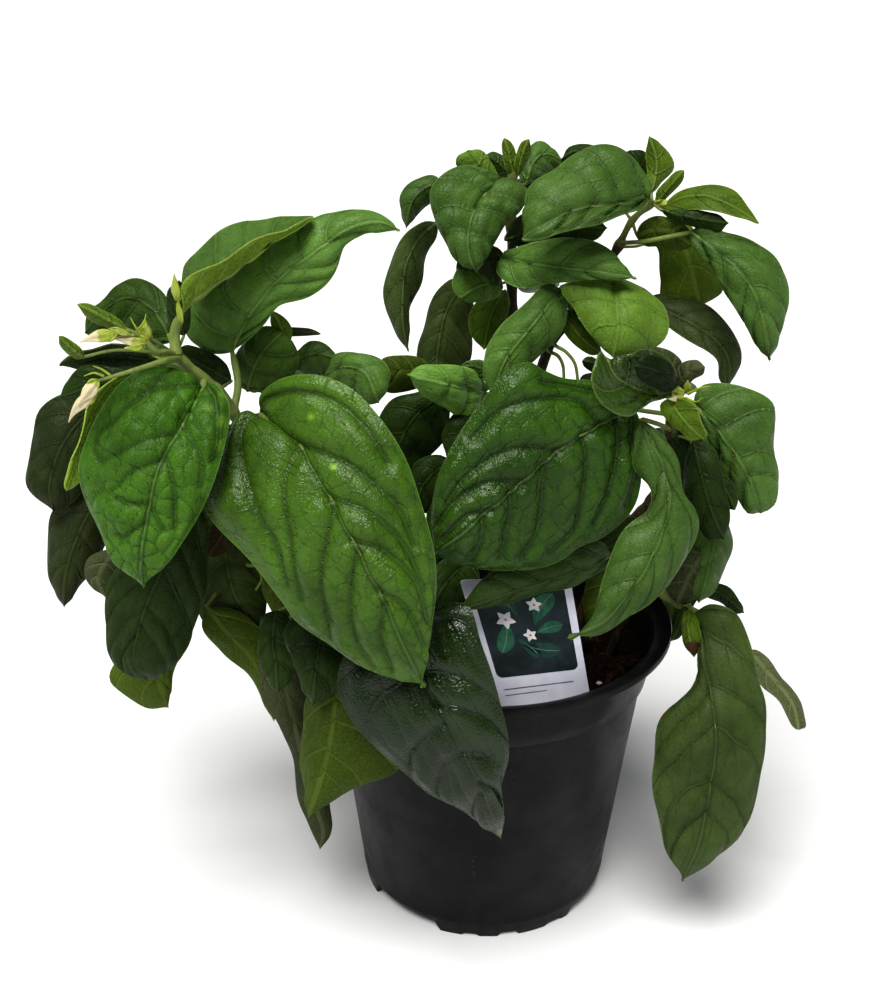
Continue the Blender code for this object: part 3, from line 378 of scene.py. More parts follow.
# kind: (front side material, back side material, blister heights, slot)
KIND = {
    "mid": (TOP["mid"], UNDER["pale"], (1.0, 0.45), "leaf_green"),
    "dark": (TOP["dark"], UNDER["pale"], (1.0, 0.45), "leaf_green"),
    "shade": (TOP["shade"], UNDER["pale"], (0.7, 0.3), "leaf_green"),
    "bright": (TOP["bright"], UNDER["pale"], (0.35, 0.12), "leaf_green"),
    "hero": (TOP["hero"], UNDER["pale"], (1.4, 0.9), "leaf_green"),
    "soft": (TOP["soft"], UNDER["pale"], (1.4, 0.9), "leaf_green"),
    "big": (TOP["big"], UNDER["pale"], (1.4, 0.2), "leaf_green"),
    "gloss": (TOP["gloss"], UNDER["pale"], (0.8, 0.5), "leaf_green"),
    "cup": (TOP["cup"], UNDER["pale"], (0.6, 0.4), "leaf_green"),
    "matte": (TOP["matte"], UNDER["pale"], (0.9, 0.25), "leaf_green"),
    "rear": (TOP["mid"], UNDER["pale"], (0.7, 0.3), "leaf_green"),
    "young": (TOP["young"], UNDER["young"], (0.3, 0.2), "leaf_young"),
    "fold": (UNDER["young"], TOP["mid"], (0.3, 0.3), "leaf_young"),
    "lit": (UNDER["lit"], TOP["mid"], (0.4, 0.2), "leaf_underside"),
    "grey": (UNDER["grey"], TOP["dark"], (0.4, 0.2), "leaf_underside"),
    "brown": (TOP["brown"], UNDER["brown"], (0.4, 0.3), "leaf_green"),
}


# ------------------------------------------------------------------ meshes
FIELDS = ("phase", "gap", "rib", "cell", "edge", "tone", "spots", "brown", "age")
PLAIN = {"phase": 0.5, "gap": 30.0, "rib": 9.0, "cell": 9.0, "edge": 9.0, "tone": 1.0, "spots": 0.0, "brown": 0.0, "age": 0.0}


class Piece:
    """Gathers closed shells, with their materials, fields and map, into one object."""

    def __init__(self):
        self.co, self.faces, self.mats, self.uvs = [], [], [], []
        self.fields = {f: [] for f in FIELDS}
        self.n = 0

    def shell(self, co, faces, mat=0, uv=None, **fields):
        """faces: list of index tuples; mat: one index or one for each face; uv: list for each face."""
        co = np.asarray(co, float)
        self.co.append(co)
        self.faces.extend(tuple(int(i) + self.n for i in f) for f in faces)
        self.mats.extend([mat] * len(faces) if np.isscalar(mat) else list(mat))
        self.uvs.extend(uv if uv is not None else [[(0.93, 0.01)] * len(f) for f in faces])
        for f in FIELDS:
            value = fields.get(f, PLAIN[f])
            self.fields[f].append(np.broadcast_to(np.asarray(value, float), (len(co),)))
        self.n += len(co)

    def make(self, name, materials, nodes=(), sharp=50, mapped=True, used=FIELDS):
        mesh = bpy.data.meshes.new(name)
        mesh.from_pydata((np.concatenate(self.co) * MM).tolist(), [], self.faces)
        mesh.polygons.foreach_set("material_index", np.array(self.mats, np.int32))
        if mapped:
            layer = mesh.uv_layers.new(name="OFBake")
            layer.uv.foreach_set("vector", np.array([c for f in self.uvs for c in f], np.float32).ravel())
        for f in used:
            mesh.attributes.new(f, "FLOAT", "POINT").data.foreach_set(
                "value", np.concatenate(self.fields[f]).astype(np.float32))
        for m in materials:
            mesh.materials.append(m)
        mesh.shade_smooth()
        mesh.set_sharp_from_angle(angle=math.radians(sharp))
        ob = bpy.data.objects.new(name, mesh)
        bpy.context.scene.collection.objects.link(ob)
        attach(ob, "root")
        if nodes:
            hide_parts(*nodes)
        return ob


def tube_shell(path, radii, sides=10, lobes=None, box=(0.88, 0.99, 0.02, 0.98)):
    """Closed tube through path.  lobes(theta, i) scales a ring's radius.  Returns co, faces, uv."""
    path = np.asarray(path, float)
    n = len(path)
    d = unit(np.gradient(path, axis=0))
    ref = np.array([0, 0, 1.0]) if abs(d[0][2]) < 0.9 else np.array([0, 1.0, 0])
    x = unit(np.cross(d[0], ref))
    co = []
    th = 2 * math.pi * np.arange(sides) / sides
    for i in range(n):
        x = unit(x - d[i] * x.dot(d[i]))
        y = np.cross(d[i], x)
        r = radii[i] * (lobes(th, i) if lobes else 1.0) * np.ones(sides)
        co.append(path[i] + r[:, None] * (np.cos(th)[:, None] * x + np.sin(th)[:, None] * y))
    co = np.concatenate(co)
    faces, uv = [], []
    u0, u1, v0, v1 = box
    for i in range(n - 1):
        for k in range(sides):
            j = (k + 1) % sides
            faces.append((i * sides + k, i * sides + j, (i + 1) * sides + j, (i + 1) * sides + k))
            a, b = u0 + (u1 - u0) * k / sides, u0 + (u1 - u0) * (k + 1) / sides
            c, e = v0 + (v1 - v0) * i / (n - 1), v0 + (v1 - v0) * (i + 1) / (n - 1)
            uv.append([(a, c), (b, c), (b, e), (a, e)])
    faces.append(tuple(reversed(range(sides))))
    uv.append([(u0, v0)] * sides)
    faces.append(tuple((n - 1) * sides + k for k in range(sides)))
    uv.append([(u0, v1)] * sides)
    return co, faces, uv


# -------------------------------------------------------------------- vines
ROOT = lambda x, y: np.array([x, y, SOIL_Z - 14.0])
VINES = {
    "vine_left": ([ROOT(-27, -18)] + [spot(p) for p in (
        (350, 560, -30), (275, 470, -42), (238, 420, -50), (224, 397, -54), (204, 380, -58), (176, 355, -62))], 2.8, 1.5),
    "vine_left_low": ([ROOT(-36, 4)] + [spot(p) for p in (
        (320, 545, 4), (246, 500, 0), (182, 478, -8), (128, 452, -12))], 2.6, 1.6),
    "vine_middle": ([ROOT(-14, 18)] + [spot(p) for p in (
        (392, 520, 20), (362, 440, 8), (330, 392, -8), (292, 362, -18))], 2.6, 1.6),
    "vine_top": ([ROOT(4, 22)] + [spot(p) for p in (
        (496, 520, 26), (503, 420, 30), (511, 330, 32), (512, 250, 30), (511, 188, 28), (516, 166, 27))], 3.0, 1.5),
    "vine_top_right": ([ROOT(17, 8)] + [spot(p) for p in (
        (545, 500, 14), (538, 400, 10), (548, 350, 8), (574, 314, 8), (603, 272, 14), (618, 247, 16), (632, 221, 14), (652, 203, 12))], 2.7, 1.15),
    "vine_right": ([ROOT(32, -6)] + [spot(p) for p in (
        (605, 560, -8), (652, 500, -14), (670, 450, -24), (673, 415, -31), (677, 398, -35))], 2.8, 1.7),
    "vine_low_right": ([ROOT(52, -4)] + [spot(p) for p in (
        (640, 588, -12), (668, 598, -19), (689, 607, -23))], 2.2, 1.5),
    "vine_front": ([ROOT(-24, -42)] + [spot(p) for p in (
        (402, 640, -52), (372, 600, -56), (345, 588, -56), (312, 590, -52))], 2.4, 1.5),
}
# where the bark starts to be green, by share of the vine's length
GREEN_FROM = {"vine_left": 0.55, "vine_left_low": 0.8, "vine_low_right": 0.5, "vine_right": 0.8, "vine_top_right": 0.85}


def vine_point(name, at):
    return curve_at(VINES[name][0], at)[0]


def vine_piece(name, joints):
    points, r0, r1 = VINES[name]
    last = len(points) - 1
    steps = int(30 * last * COARSE)
    f = np.linspace(0, last, steps + 1)
    path = curve_at(points, f)
    run = np.concatenate([[0], np.cumsum(np.linalg.norm(np.diff(path, axis=0), axis=1))])
    rng = np.random.default_rng(seed_of(name))
    radii = r0 + (r1 - r0) * f / last
    for at in joints:
        here = np.interp(at, f, run)
        radii = radii * (1 + 0.28 * np.exp(-((run - here) / 2.6) ** 2))
    radii = radii * (1 + 0.05 * wobble(path, 14, rng, 2))
    ridge = rng.uniform(0, 6.28, 3)
    lobes = lambda th, i: 1 + 0.05 * np.cos(4 * th + ridge[0] + run[i] * 0.02) + 0.03 * np.cos(7 * th + ridge[1] + run[i] * 0.35)
    co, faces, uv = tube_shell(path, radii, 20, lobes, (0.02, 0.98, 0.02, 0.98))
    start = GREEN_FROM.get(name, 0.8)
    age = np.repeat(1 - smooth(f / last, start - 0.25, start + 0.15), 20)
    p = Piece()
    p.shell(co, faces, 0, uv, age=age)
    return p.make(name + "_bark", [WOOD], [name], used=("age",))


# ------------------------------------------------------------------- leaves
Leaf = namedtuple("Leaf", "name vine at stalk rib edge_a edge_b fall kind")
LEAVES = [
    # --- left shoot
    Leaf("leaf_left_big", "vine_left", 2.75, [],
         [(257, 411, -64), (300, 446, -82), (330, 498, -96), (353, 541, -104), (381, 596, -110), (404, 646, -112), (426, 691, -110)],
         [(260, 394), (283, 378), (318, 375), (352, 389), (381, 419), (406, 459), (422, 503), (434, 553), (437, 600), (430, 650)],
         [(240, 412), (225, 436), (206, 484), (205, 508), (226, 537), (256, 570), (282, 600), (300, 625), (340, 654), (384, 677), (410, 685)],
         (9, 12), "big"),
    Leaf("leaf_left_front", "vine_left", 5.0, [],
         [(203, 386, -68), (181, 428, -82), (160, 464, -90), (147, 518, -94), (141, 568, -93), (143, 590, -92)],
         [(189, 374), (160, 367), (132, 376), (108, 398), (90, 430), (81, 468), (88, 506), (104, 542), (121, 567), (135, 582)],
         [(216, 384), (230, 406), (226, 440), (215, 478), (199, 516), (180, 545), (163, 568), (149, 581)],
         (14, 2), "soft"),
    Leaf("leaf_left_edge", "vine_left", 6.0, [(163, 363, -63)],
         [(146, 370, -64), (124, 377, -66), (104, 392, -68), (92, 415, -69), (82, 445, -70), (72, 474, -70), (67, 491, -70)],
         [(126, 370), (104, 383), (90, 401), (82, 422), (76, 444), (69, 466), (65, 482)],
         [(138, 384), (120, 398), (108, 418), (98, 444), (86, 470), (74, 487)],
         (-5, 9), "young"),
    Leaf("leaf_left_high", "vine_left", 3.25, [(238, 384, -45)],
         [(232, 353, -38), (250, 314, -40), (282, 276, -40), (318, 250, -38), (350, 228, -35), (380, 222, -33), (401, 232, -33)],
         [(212, 353), (190, 340), (183, 315), (200, 291), (234, 270), (268, 244), (305, 220), (345, 210), (376, 212), (394, 221)],
         [(245, 342), (264, 323), (280, 307), (312, 294), (336, 272), (345, 246), (360, 233), (382, 233)],
         (10, 4), "mid"),
    Leaf("leaf_left_folded", "vine_left", 6.0, [(175, 332, -59)],
         [(184, 312, -60), (200, 298, -58), (231, 275, -54), (262, 253, -49), (290, 234, -43), (314, 218, -36)],
         [(180, 292), (186, 279), (208, 265), (234, 251), (262, 236), (290, 225)],
         [(181, 272), (187, 257), (208, 240), (236, 222), (264, 216), (294, 217)],
         (-7, 20), "fold"),
    Leaf("leaf_left_back", "vine_left", 5.7, [],
         [(171, 343, -46), (162, 322, -40), (146, 304, -34), (124, 298, -30), (102, 312, -28), (84, 334, -28)],
         [(175, 322), (165, 294), (142, 281), (119, 285), (98, 304), (85, 324)],
         [(152, 345), (130, 340), (108, 336), (94, 338)],
         (6, 4), "dark"),
    Leaf("leaf_left_flat", "vine_left", 5.3, [(176, 364, -50)],
         [(156, 360, -48), (126, 356, -44), (94, 357, -44), (60, 367, -46)],
         [(140, 347), (112, 345), (84, 349), (68, 358)],
         [(142, 374), (114, 378), (88, 372), (72, 367)],
         (-8, 6), "dark"),
    # --- low left
    Leaf("leaf_outer_high", "vine_left_low", 4.0, [(126, 424, -14)],
         [(116, 402, -17), (86, 416, -22), (62, 446, -26), (50, 482, -27), (53, 512, -26)],
         [(96, 391), (62, 394), (42, 409), (35, 434), (30, 452), (27, 480), (38, 498)],
         [(112, 432), (98, 462), (80, 490), (64, 510)],
         (6, 8), "shade"),
    Leaf("leaf_outer_low", "vine_left_low", 4.0, [],
         [(113, 478, -14), (92, 508, -19), (74, 546, -23), (65, 580, -24), (64, 609, -24)],
         [(88, 482), (60, 504), (48, 532), (50, 566), (56, 594)],
         [(116, 508), (108, 540), (92, 566), (76, 592)],
         (8, 7), "shade"),
    Leaf("leaf_left_hanging", "vine_left_low", 3.0, [(190, 484, -26)],
         [(194, 500, -38), (172, 550, -50), (151, 594, -55), (138, 632, -56), (134, 658, -54), (145, 681, -50)],
         [(168, 510), (132, 545), (111, 580), (106, 615), (107, 648), (121, 669), (134, 679)],
         [(207, 520), (208, 560), (204, 594), (192, 634), (176, 662), (158, 678)],
         (7, 8), "dark"),
    Leaf("leaf_left_under", "vine_left_low", 2.7, [(196, 520, -18)],
         [(184, 600, -30), (168, 640, -36), (158, 676, -38), (169, 708, -36)],
         [(160, 622), (126, 652), (111, 676), (124, 694), (146, 707)],
         [(192, 630), (178, 660), (169, 686)],
         (5, 5), "lit"),
    Leaf("leaf_hollow_grey", "vine_left_low", 2.0, [],
         [(226, 528, -16), (226, 560, -24), (234, 592, -30), (246, 614, -31), (259, 633, -30)],
         [(204, 538), (198, 572), (197, 608), (212, 627), (236, 632)],
         [(248, 556), (263, 582), (266, 608), (264, 626)],
         (6, 7), "shade"),
    # --- front, hanging over the lip
    Leaf("leaf_front_small", "vine_front", 2.6, [],
         [(328, 614, -68), (320, 640, -77), (316, 672, -84), (312, 707, -86)],
         [(304, 610), (286, 630), (292, 660), (304, 684), (310, 698)],
         [(352, 628), (360, 655), (346, 676), (328, 694), (317, 702)],
         (6, 6), "dark"),
    Leaf("leaf_front_grey", "vine_front", 4.0, [(296, 606, -50)],
         [(284, 640, -46), (286, 690, -46), (298, 740, -48), (312, 795, -50), (323, 830, -50), (320, 850, -50)],
         [(262, 650), (263, 696), (280, 722), (294, 762), (301, 804), (313, 834)],
         [(306, 660), (310, 712), (321, 762), (330, 806), (330, 834)],
         (4, 6), "grey"),
    Leaf("leaf_front_yellow", "vine_front", 1.9, [(374, 626, -64)],
         [(354, 660, -70), (337, 694, -76), (332, 730, -79), (325, 764, -80), (316, 794, -79), (308, 819, -78)],
         [(334, 664), (312, 692), (303, 724), (303, 758), (305, 792)],
         [(384, 676), (402, 716), (405, 748), (396, 769), (364, 784), (332, 799)],
         (10, 4), "lit"),
    Leaf("leaf_front_dark", "vine_front", 1.5, [],
         [(406, 618, -74), (416, 652, -88), (430, 694, -98), (450, 728, -103), (475, 775, -104), (490, 808, -101), (502, 842, -96)],
         [(374, 626), (346, 652), (337, 688), (354, 722), (382, 754), (418, 784), (452, 805), (484, 828)],
         [(436, 604), (468, 606), (482, 645), (496, 686), (506, 728), (508, 758), (502, 794), (504, 826)],
         (5, 4), "gloss"),
    # --- middle
    Leaf("leaf_mid_veined", "vine_middle", 4.0, [(272, 384, -22)],
         [(247, 392, -26), (254, 368, -30), (266, 348, -32), (284, 331, -32)],
         [(238, 376), (238, 352), (252, 334), (268, 327)],
         [(268, 388), (290, 380), (298, 360), (293, 342)],
         (5, 5), "dark"),
    Leaf("leaf_mid_bright", "vine_middle", 3.3, [],
         [(322, 376, -26), (344, 367, -36), (366, 374, -42), (379, 404, -46)],
         [(334, 357), (354, 352), (376, 358), (388, 371), (386, 391)],
         [(332, 388), (350, 394), (366, 404)],
         (6, 6), "mid"),
    # --- top
    Leaf("leaf_top_heart", "vine_top", 5.0, [],
         [(501, 185, 20), (485, 194, 10), (473, 214, 2), (468, 240, -4), (471, 262, -6), (478, 274, -6)],
         [(490, 173), (468, 164), (446, 173), (432, 190), (433, 216), (443, 240), (460, 262)],
         [(514, 182), (526, 191), (521, 210), (505, 226), (491, 245), (483, 264)],
         (9, 10), "mid"),
    Leaf("leaf_top_bright", "vine_top_right", 8.0, [],
         [(650, 198, 2), (620, 204, -8), (588, 207, -14), (554, 219, -18), (521, 238, -20)],
         [(648, 180), (636, 160), (620, 149), (597, 147), (573, 155), (550, 172), (532, 187), (524, 212)],
         [(640, 209), (618, 218), (588, 227), (558, 235), (536, 240)],
         (16, -4), "mid"),
    Leaf("leaf_top_tip_left", "vine_top", 4.8, [(474, 182, 34)],
         [(442, 182, 32), (424, 189, 30), (411, 204, 28), (406, 229, 27)],
         [(430, 175), (411, 184), (400, 197), (402, 214)],
         [(438, 194), (427, 206), (414, 217)],
         (6, 5), "mid"),
    Leaf("leaf_top_hanging", "vine_top", 4.4, [(482, 216, 42)],
         [(437, 222, 40), (418, 240, 37), (406, 266, 34), (403, 294, 32), (403, 324, 30), (409, 353, 29)],
         [(420, 224), (398, 246), (387, 276), (386, 304), (394, 330), (404, 346)],
         [(436, 236), (426, 256), (420, 282), (410, 308), (408, 334)],
         (8, 7), "shade"),
    Leaf("leaf_top_round", "vine_top", 5.0, [],
         [(526, 184, 36), (532, 165, 40), (545, 154, 44), (564, 161, 47)],
         [(519, 172), (525, 154), (538, 143), (553, 149)],
         [(538, 182), (552, 176), (562, 170)],
         (6, 5), "mid"),
    Leaf("leaf_top_upright", "vine_top_right", 8.0, [],
         [(652, 193, 14), (656, 175, 18), (656, 158, 20), (649, 136, 22)],
         [(648, 184), (647, 168), (647, 150)],
         [(661, 183), (672, 168), (668, 153), (658, 142)],
         (2, 5), "young"),
    Leaf("leaf_top_right_lit", "vine_top_right", 8.0, [],
         [(664, 207, 8), (682, 198, 4), (706, 196, 0), (732, 206, -3), (759, 223, -5)],
         [(672, 198), (690, 189), (712, 185), (733, 192), (749, 209)],
         [(672, 213), (692, 210), (716, 212), (742, 218)],
         (6, -2), "young"),
    Leaf("leaf_right_high", "vine_top_right", 6.15, [(646, 241, 4)],
         [(690, 231, 4), (714, 250, -5), (738, 270, -11), (755, 295, -15), (764, 326, -17), (770, 363, -17)],
         [(704, 227), (730, 235), (757, 244), (777, 258), (786, 284), (785, 318), (777, 346)],
         [(696, 246), (710, 262), (722, 286), (736, 306), (744, 324), (757, 346)],
         (9, 6), "mid"),
    Leaf("leaf_right_lit", "vine_top_right", 6.0, [(638, 246, 20)],
         [(652, 240, 22), (670, 236, 22), (685, 250, 20), (693, 276, 17), (700, 307, 15)],
         [(658, 248), (661, 262), (662, 280), (661, 296), (682, 301)],
         [(664, 222), (688, 224), (706, 248), (717, 272), (722, 292)],
         (4, 6), "lit"),
    Leaf("leaf_right_dark", "vine_top_right", 5.0, [(626, 288, 18)],
         [(644, 301, 14), (680, 318, 8), (710, 336, 3), (727, 358, 0), (729, 388, -2)],
         [(662, 294), (690, 300), (716, 313), (734, 334), (739, 362)],
         [(652, 316), (670, 329), (694, 344), (716, 360), (720, 380)],
         (8, -2), "shade"),
    Leaf("leaf_centre_flat", "vine_top", 3.8, [(504, 262, 22)],
         [(500, 258, 14), (532, 264, 2), (566, 268, -5), (602, 273, -9), (638, 279, -10)],
         [(512, 249), (540, 243), (568, 237), (593, 242), (613, 254), (628, 270)],
         [(498, 274), (520, 288), (552, 283), (584, 280), (614, 279)],
         (8, 1), "mid"),
    Leaf("leaf_centre_left", "vine_top", 3.6, [],
         [(500, 284, 20), (488, 284, 12), (474, 288, 6), (461, 298, 4)],
         [(496, 272), (478, 264), (461, 266), (453, 282), (455, 294)],
         [(500, 296), (484, 300), (469, 303)],
         (5, 4), "dark"),
    Leaf("leaf_centre_bright", "vine_top_right", 5.0, [(610, 276, 8)],
         [(612, 281, 0), (616, 302, -10), (618, 330, -18), (613, 358, -22)],
         [(590, 279), (561, 289), (575, 308), (590, 331), (603, 349)],
         [(640, 288), (661, 304), (667, 328), (658, 345), (636, 354)],
         (7, 7), "bright"),
    Leaf("leaf_centre_hanging", "vine_top_right", 4.0, [],
         [(560, 288, 4), (545, 310, -7), (525, 335, -13), (505, 362, -16), (491, 398, -17)],
         [(545, 285), (524, 304), (501, 328), (486, 349), (484, 374)],
         [(568, 304), (561, 330), (541, 355), (517, 374), (500, 390)],
         (7, 5), "mid"),
    Leaf("leaf_back_left", "vine_top", 3.0, [(490, 302, 46)],
         [(464, 284, 48), (449, 306, 44), (441, 332, 40), (437, 362, 36), (439, 392, 34)],
         [(450, 280), (434, 300), (424, 326), (419, 356), (426, 382)],
         [(472, 304), (472, 332), (468, 362), (456, 386)],
         (7, 6), "shade"),
    Leaf("leaf_centre_low", "vine_top", 2.2, [],
         [(487, 393, 8), (462, 388, -4), (436, 381, -10), (406, 375, -12)],
         [(480, 374), (456, 366), (430, 364), (414, 369)],
         [(478, 409), (461, 418), (444, 408), (424, 393)],
         (5, 8), "mid"),
    # --- right
    Leaf("leaf_right_big", "vine_right", 4.0, [],
         [(638, 409, -44), (598, 426, -58), (557, 451, -68), (512, 491, -76), (480, 517, -80), (434, 556, -84)],
         [(626, 391), (600, 381), (568, 378), (546, 370), (528, 362), (507, 370), (487, 394), (467, 421), (449, 452), (436, 484), (430, 516), (431, 542)],
         [(641, 428), (643, 456), (641, 486), (628, 515), (604, 538), (580, 548), (555, 562), (524, 570), (494, 572), (464, 567), (444, 562)],
         (8, 8), "hero"),
    Leaf("leaf_right_cup", "vine_right", 5.0, [],
         [(667, 397, -46), (648, 392, -52), (628, 384, -57), (612, 372, -60), (603, 351, -60)],
         [(676, 380), (668, 358), (645, 349), (629, 354), (617, 362), (607, 361)],
         [(656, 402), (644, 409), (628, 416), (608, 411), (594, 398), (592, 378), (597, 361)],
         (2, -10), "cup"),
    Leaf("leaf_right_side", "vine_right", 4.6, [(684, 404, -32)],
         [(692, 402, -30), (714, 427, -37), (738, 457, -42), (752, 486, -43), (761, 515, -42)],
         [(706, 384), (745, 388), (775, 406), (772, 446), (778, 476), (778, 498), (770, 511)],
         [(696, 420), (712, 442), (722, 466), (732, 490), (746, 512)],
         (8, 7), "mid"),
    Leaf("leaf_right_twist", "vine_right", 3.5, [(658, 424, -43)],
         [(641, 417, -52), (654, 446, -58), (667, 480, -64), (668, 512, -70), (655, 552, -76), (632, 590, -81), (603, 622, -85), (567, 638, -88)],
         [(634, 432), (634, 466), (650, 490), (646, 512), (622, 533), (607, 564), (598, 604), (582, 629)],
         [(656, 432), (677, 459), (683, 492), (697, 520), (690, 553), (665, 587), (640, 609), (604, 634)],
         (7, 6), "mid"),
    Leaf("leaf_right_inner", "vine_right", 3.4, [],
         [(693, 440, -40), (700, 470, -47), (708, 500, -51), (716, 522, -52), (725, 540, -52)],
         [(686, 456), (684, 482), (693, 514), (706, 537)],
         [(712, 446), (720, 468), (728, 502), (728, 522)],
         (6, 3), "dark"),
    Leaf("leaf_right_low", "vine_right", 2.0, [(692, 500, -12)],
         [(713, 506, -14), (714, 538, -21), (707, 574, -26), (699, 604, -28)],
         [(726, 518), (731, 542), (726, 566), (714, 590)],
         [(700, 520), (694, 546), (688, 572), (691, 594)],
         (7, 5), "mid"),
    Leaf("leaf_right_hanging", "vine_low_right", 3.0, [],
         [(692, 613, -32), (701, 640, -40), (709, 684, -50), (716, 735, -58), (711, 782, -62), (700, 838, -64), (681, 884, -62)],
         [(692, 632), (701, 657), (688, 692), (659, 721), (654, 760), (653, 792), (662, 835), (670, 860), (678, 872)],
         [(712, 604), (736, 613), (749, 640), (757, 676), (767, 708), (763, 756), (753, 812), (724, 851), (696, 874)],
         (7, 5), "matte"),
    Leaf("leaf_right_narrow", "vine_low_right", 3.0, [(716, 622, -16)],
         [(748, 650, -12), (765, 670, -12), (783, 691, -14), (794, 708, -15), (799, 730, -16)],
         [(760, 653), (780, 676), (798, 701), (806, 725)],
         [(752, 667), (762, 687), (781, 704), (791, 724)],
         (7, -4), "grey"),
    Leaf("leaf_under_big", "vine_right", 1.4, [(636, 546, -32)],
         [(612, 556, -46), (572, 572, -58), (530, 586, -66), (495, 598, -72), (457, 612, -76)],
         [(596, 540), (552, 550), (516, 562), (486, 576), (470, 594)],
         [(608, 567), (578, 583), (545, 593), (512, 601), (480, 608)],
         (3, 4), "mid"),
    # --- back of the crown
    Leaf("leaf_rear_top", "vine_top", 3.6, [(520, 272, 46)],
         [(528, 262, 58), (540, 256, 76), (552, 264, 94), (560, 286, 108)],
         [(514, 236), (524, 232), (546, 244), (562, 268)],
         [(516, 284), (528, 292), (540, 292), (552, 292)],
         (6, 6), "rear"),
    Leaf("leaf_rear_left", "vine_middle", 1.6, [(368, 462, 26)],
         [(352, 452, 40), (338, 440, 58), (324, 444, 76), (316, 464, 90)],
         [(330, 420), (316, 420), (308, 436), (310, 454)],
         [(368, 470), (356, 480), (340, 480), (326, 474)],
         (6, 6), "rear"),
    Leaf("leaf_rear_right", "vine_top_right", 2.0, [(566, 404, 26)],
         [(590, 402, 42), (608, 404, 60), (622, 418, 76), (630, 444, 88)],
         [(580, 378), (602, 376), (626, 394), (636, 424)],
         [(580, 424), (592, 438), (606, 448), (620, 452)],
         (6, 6), "rear"),
]
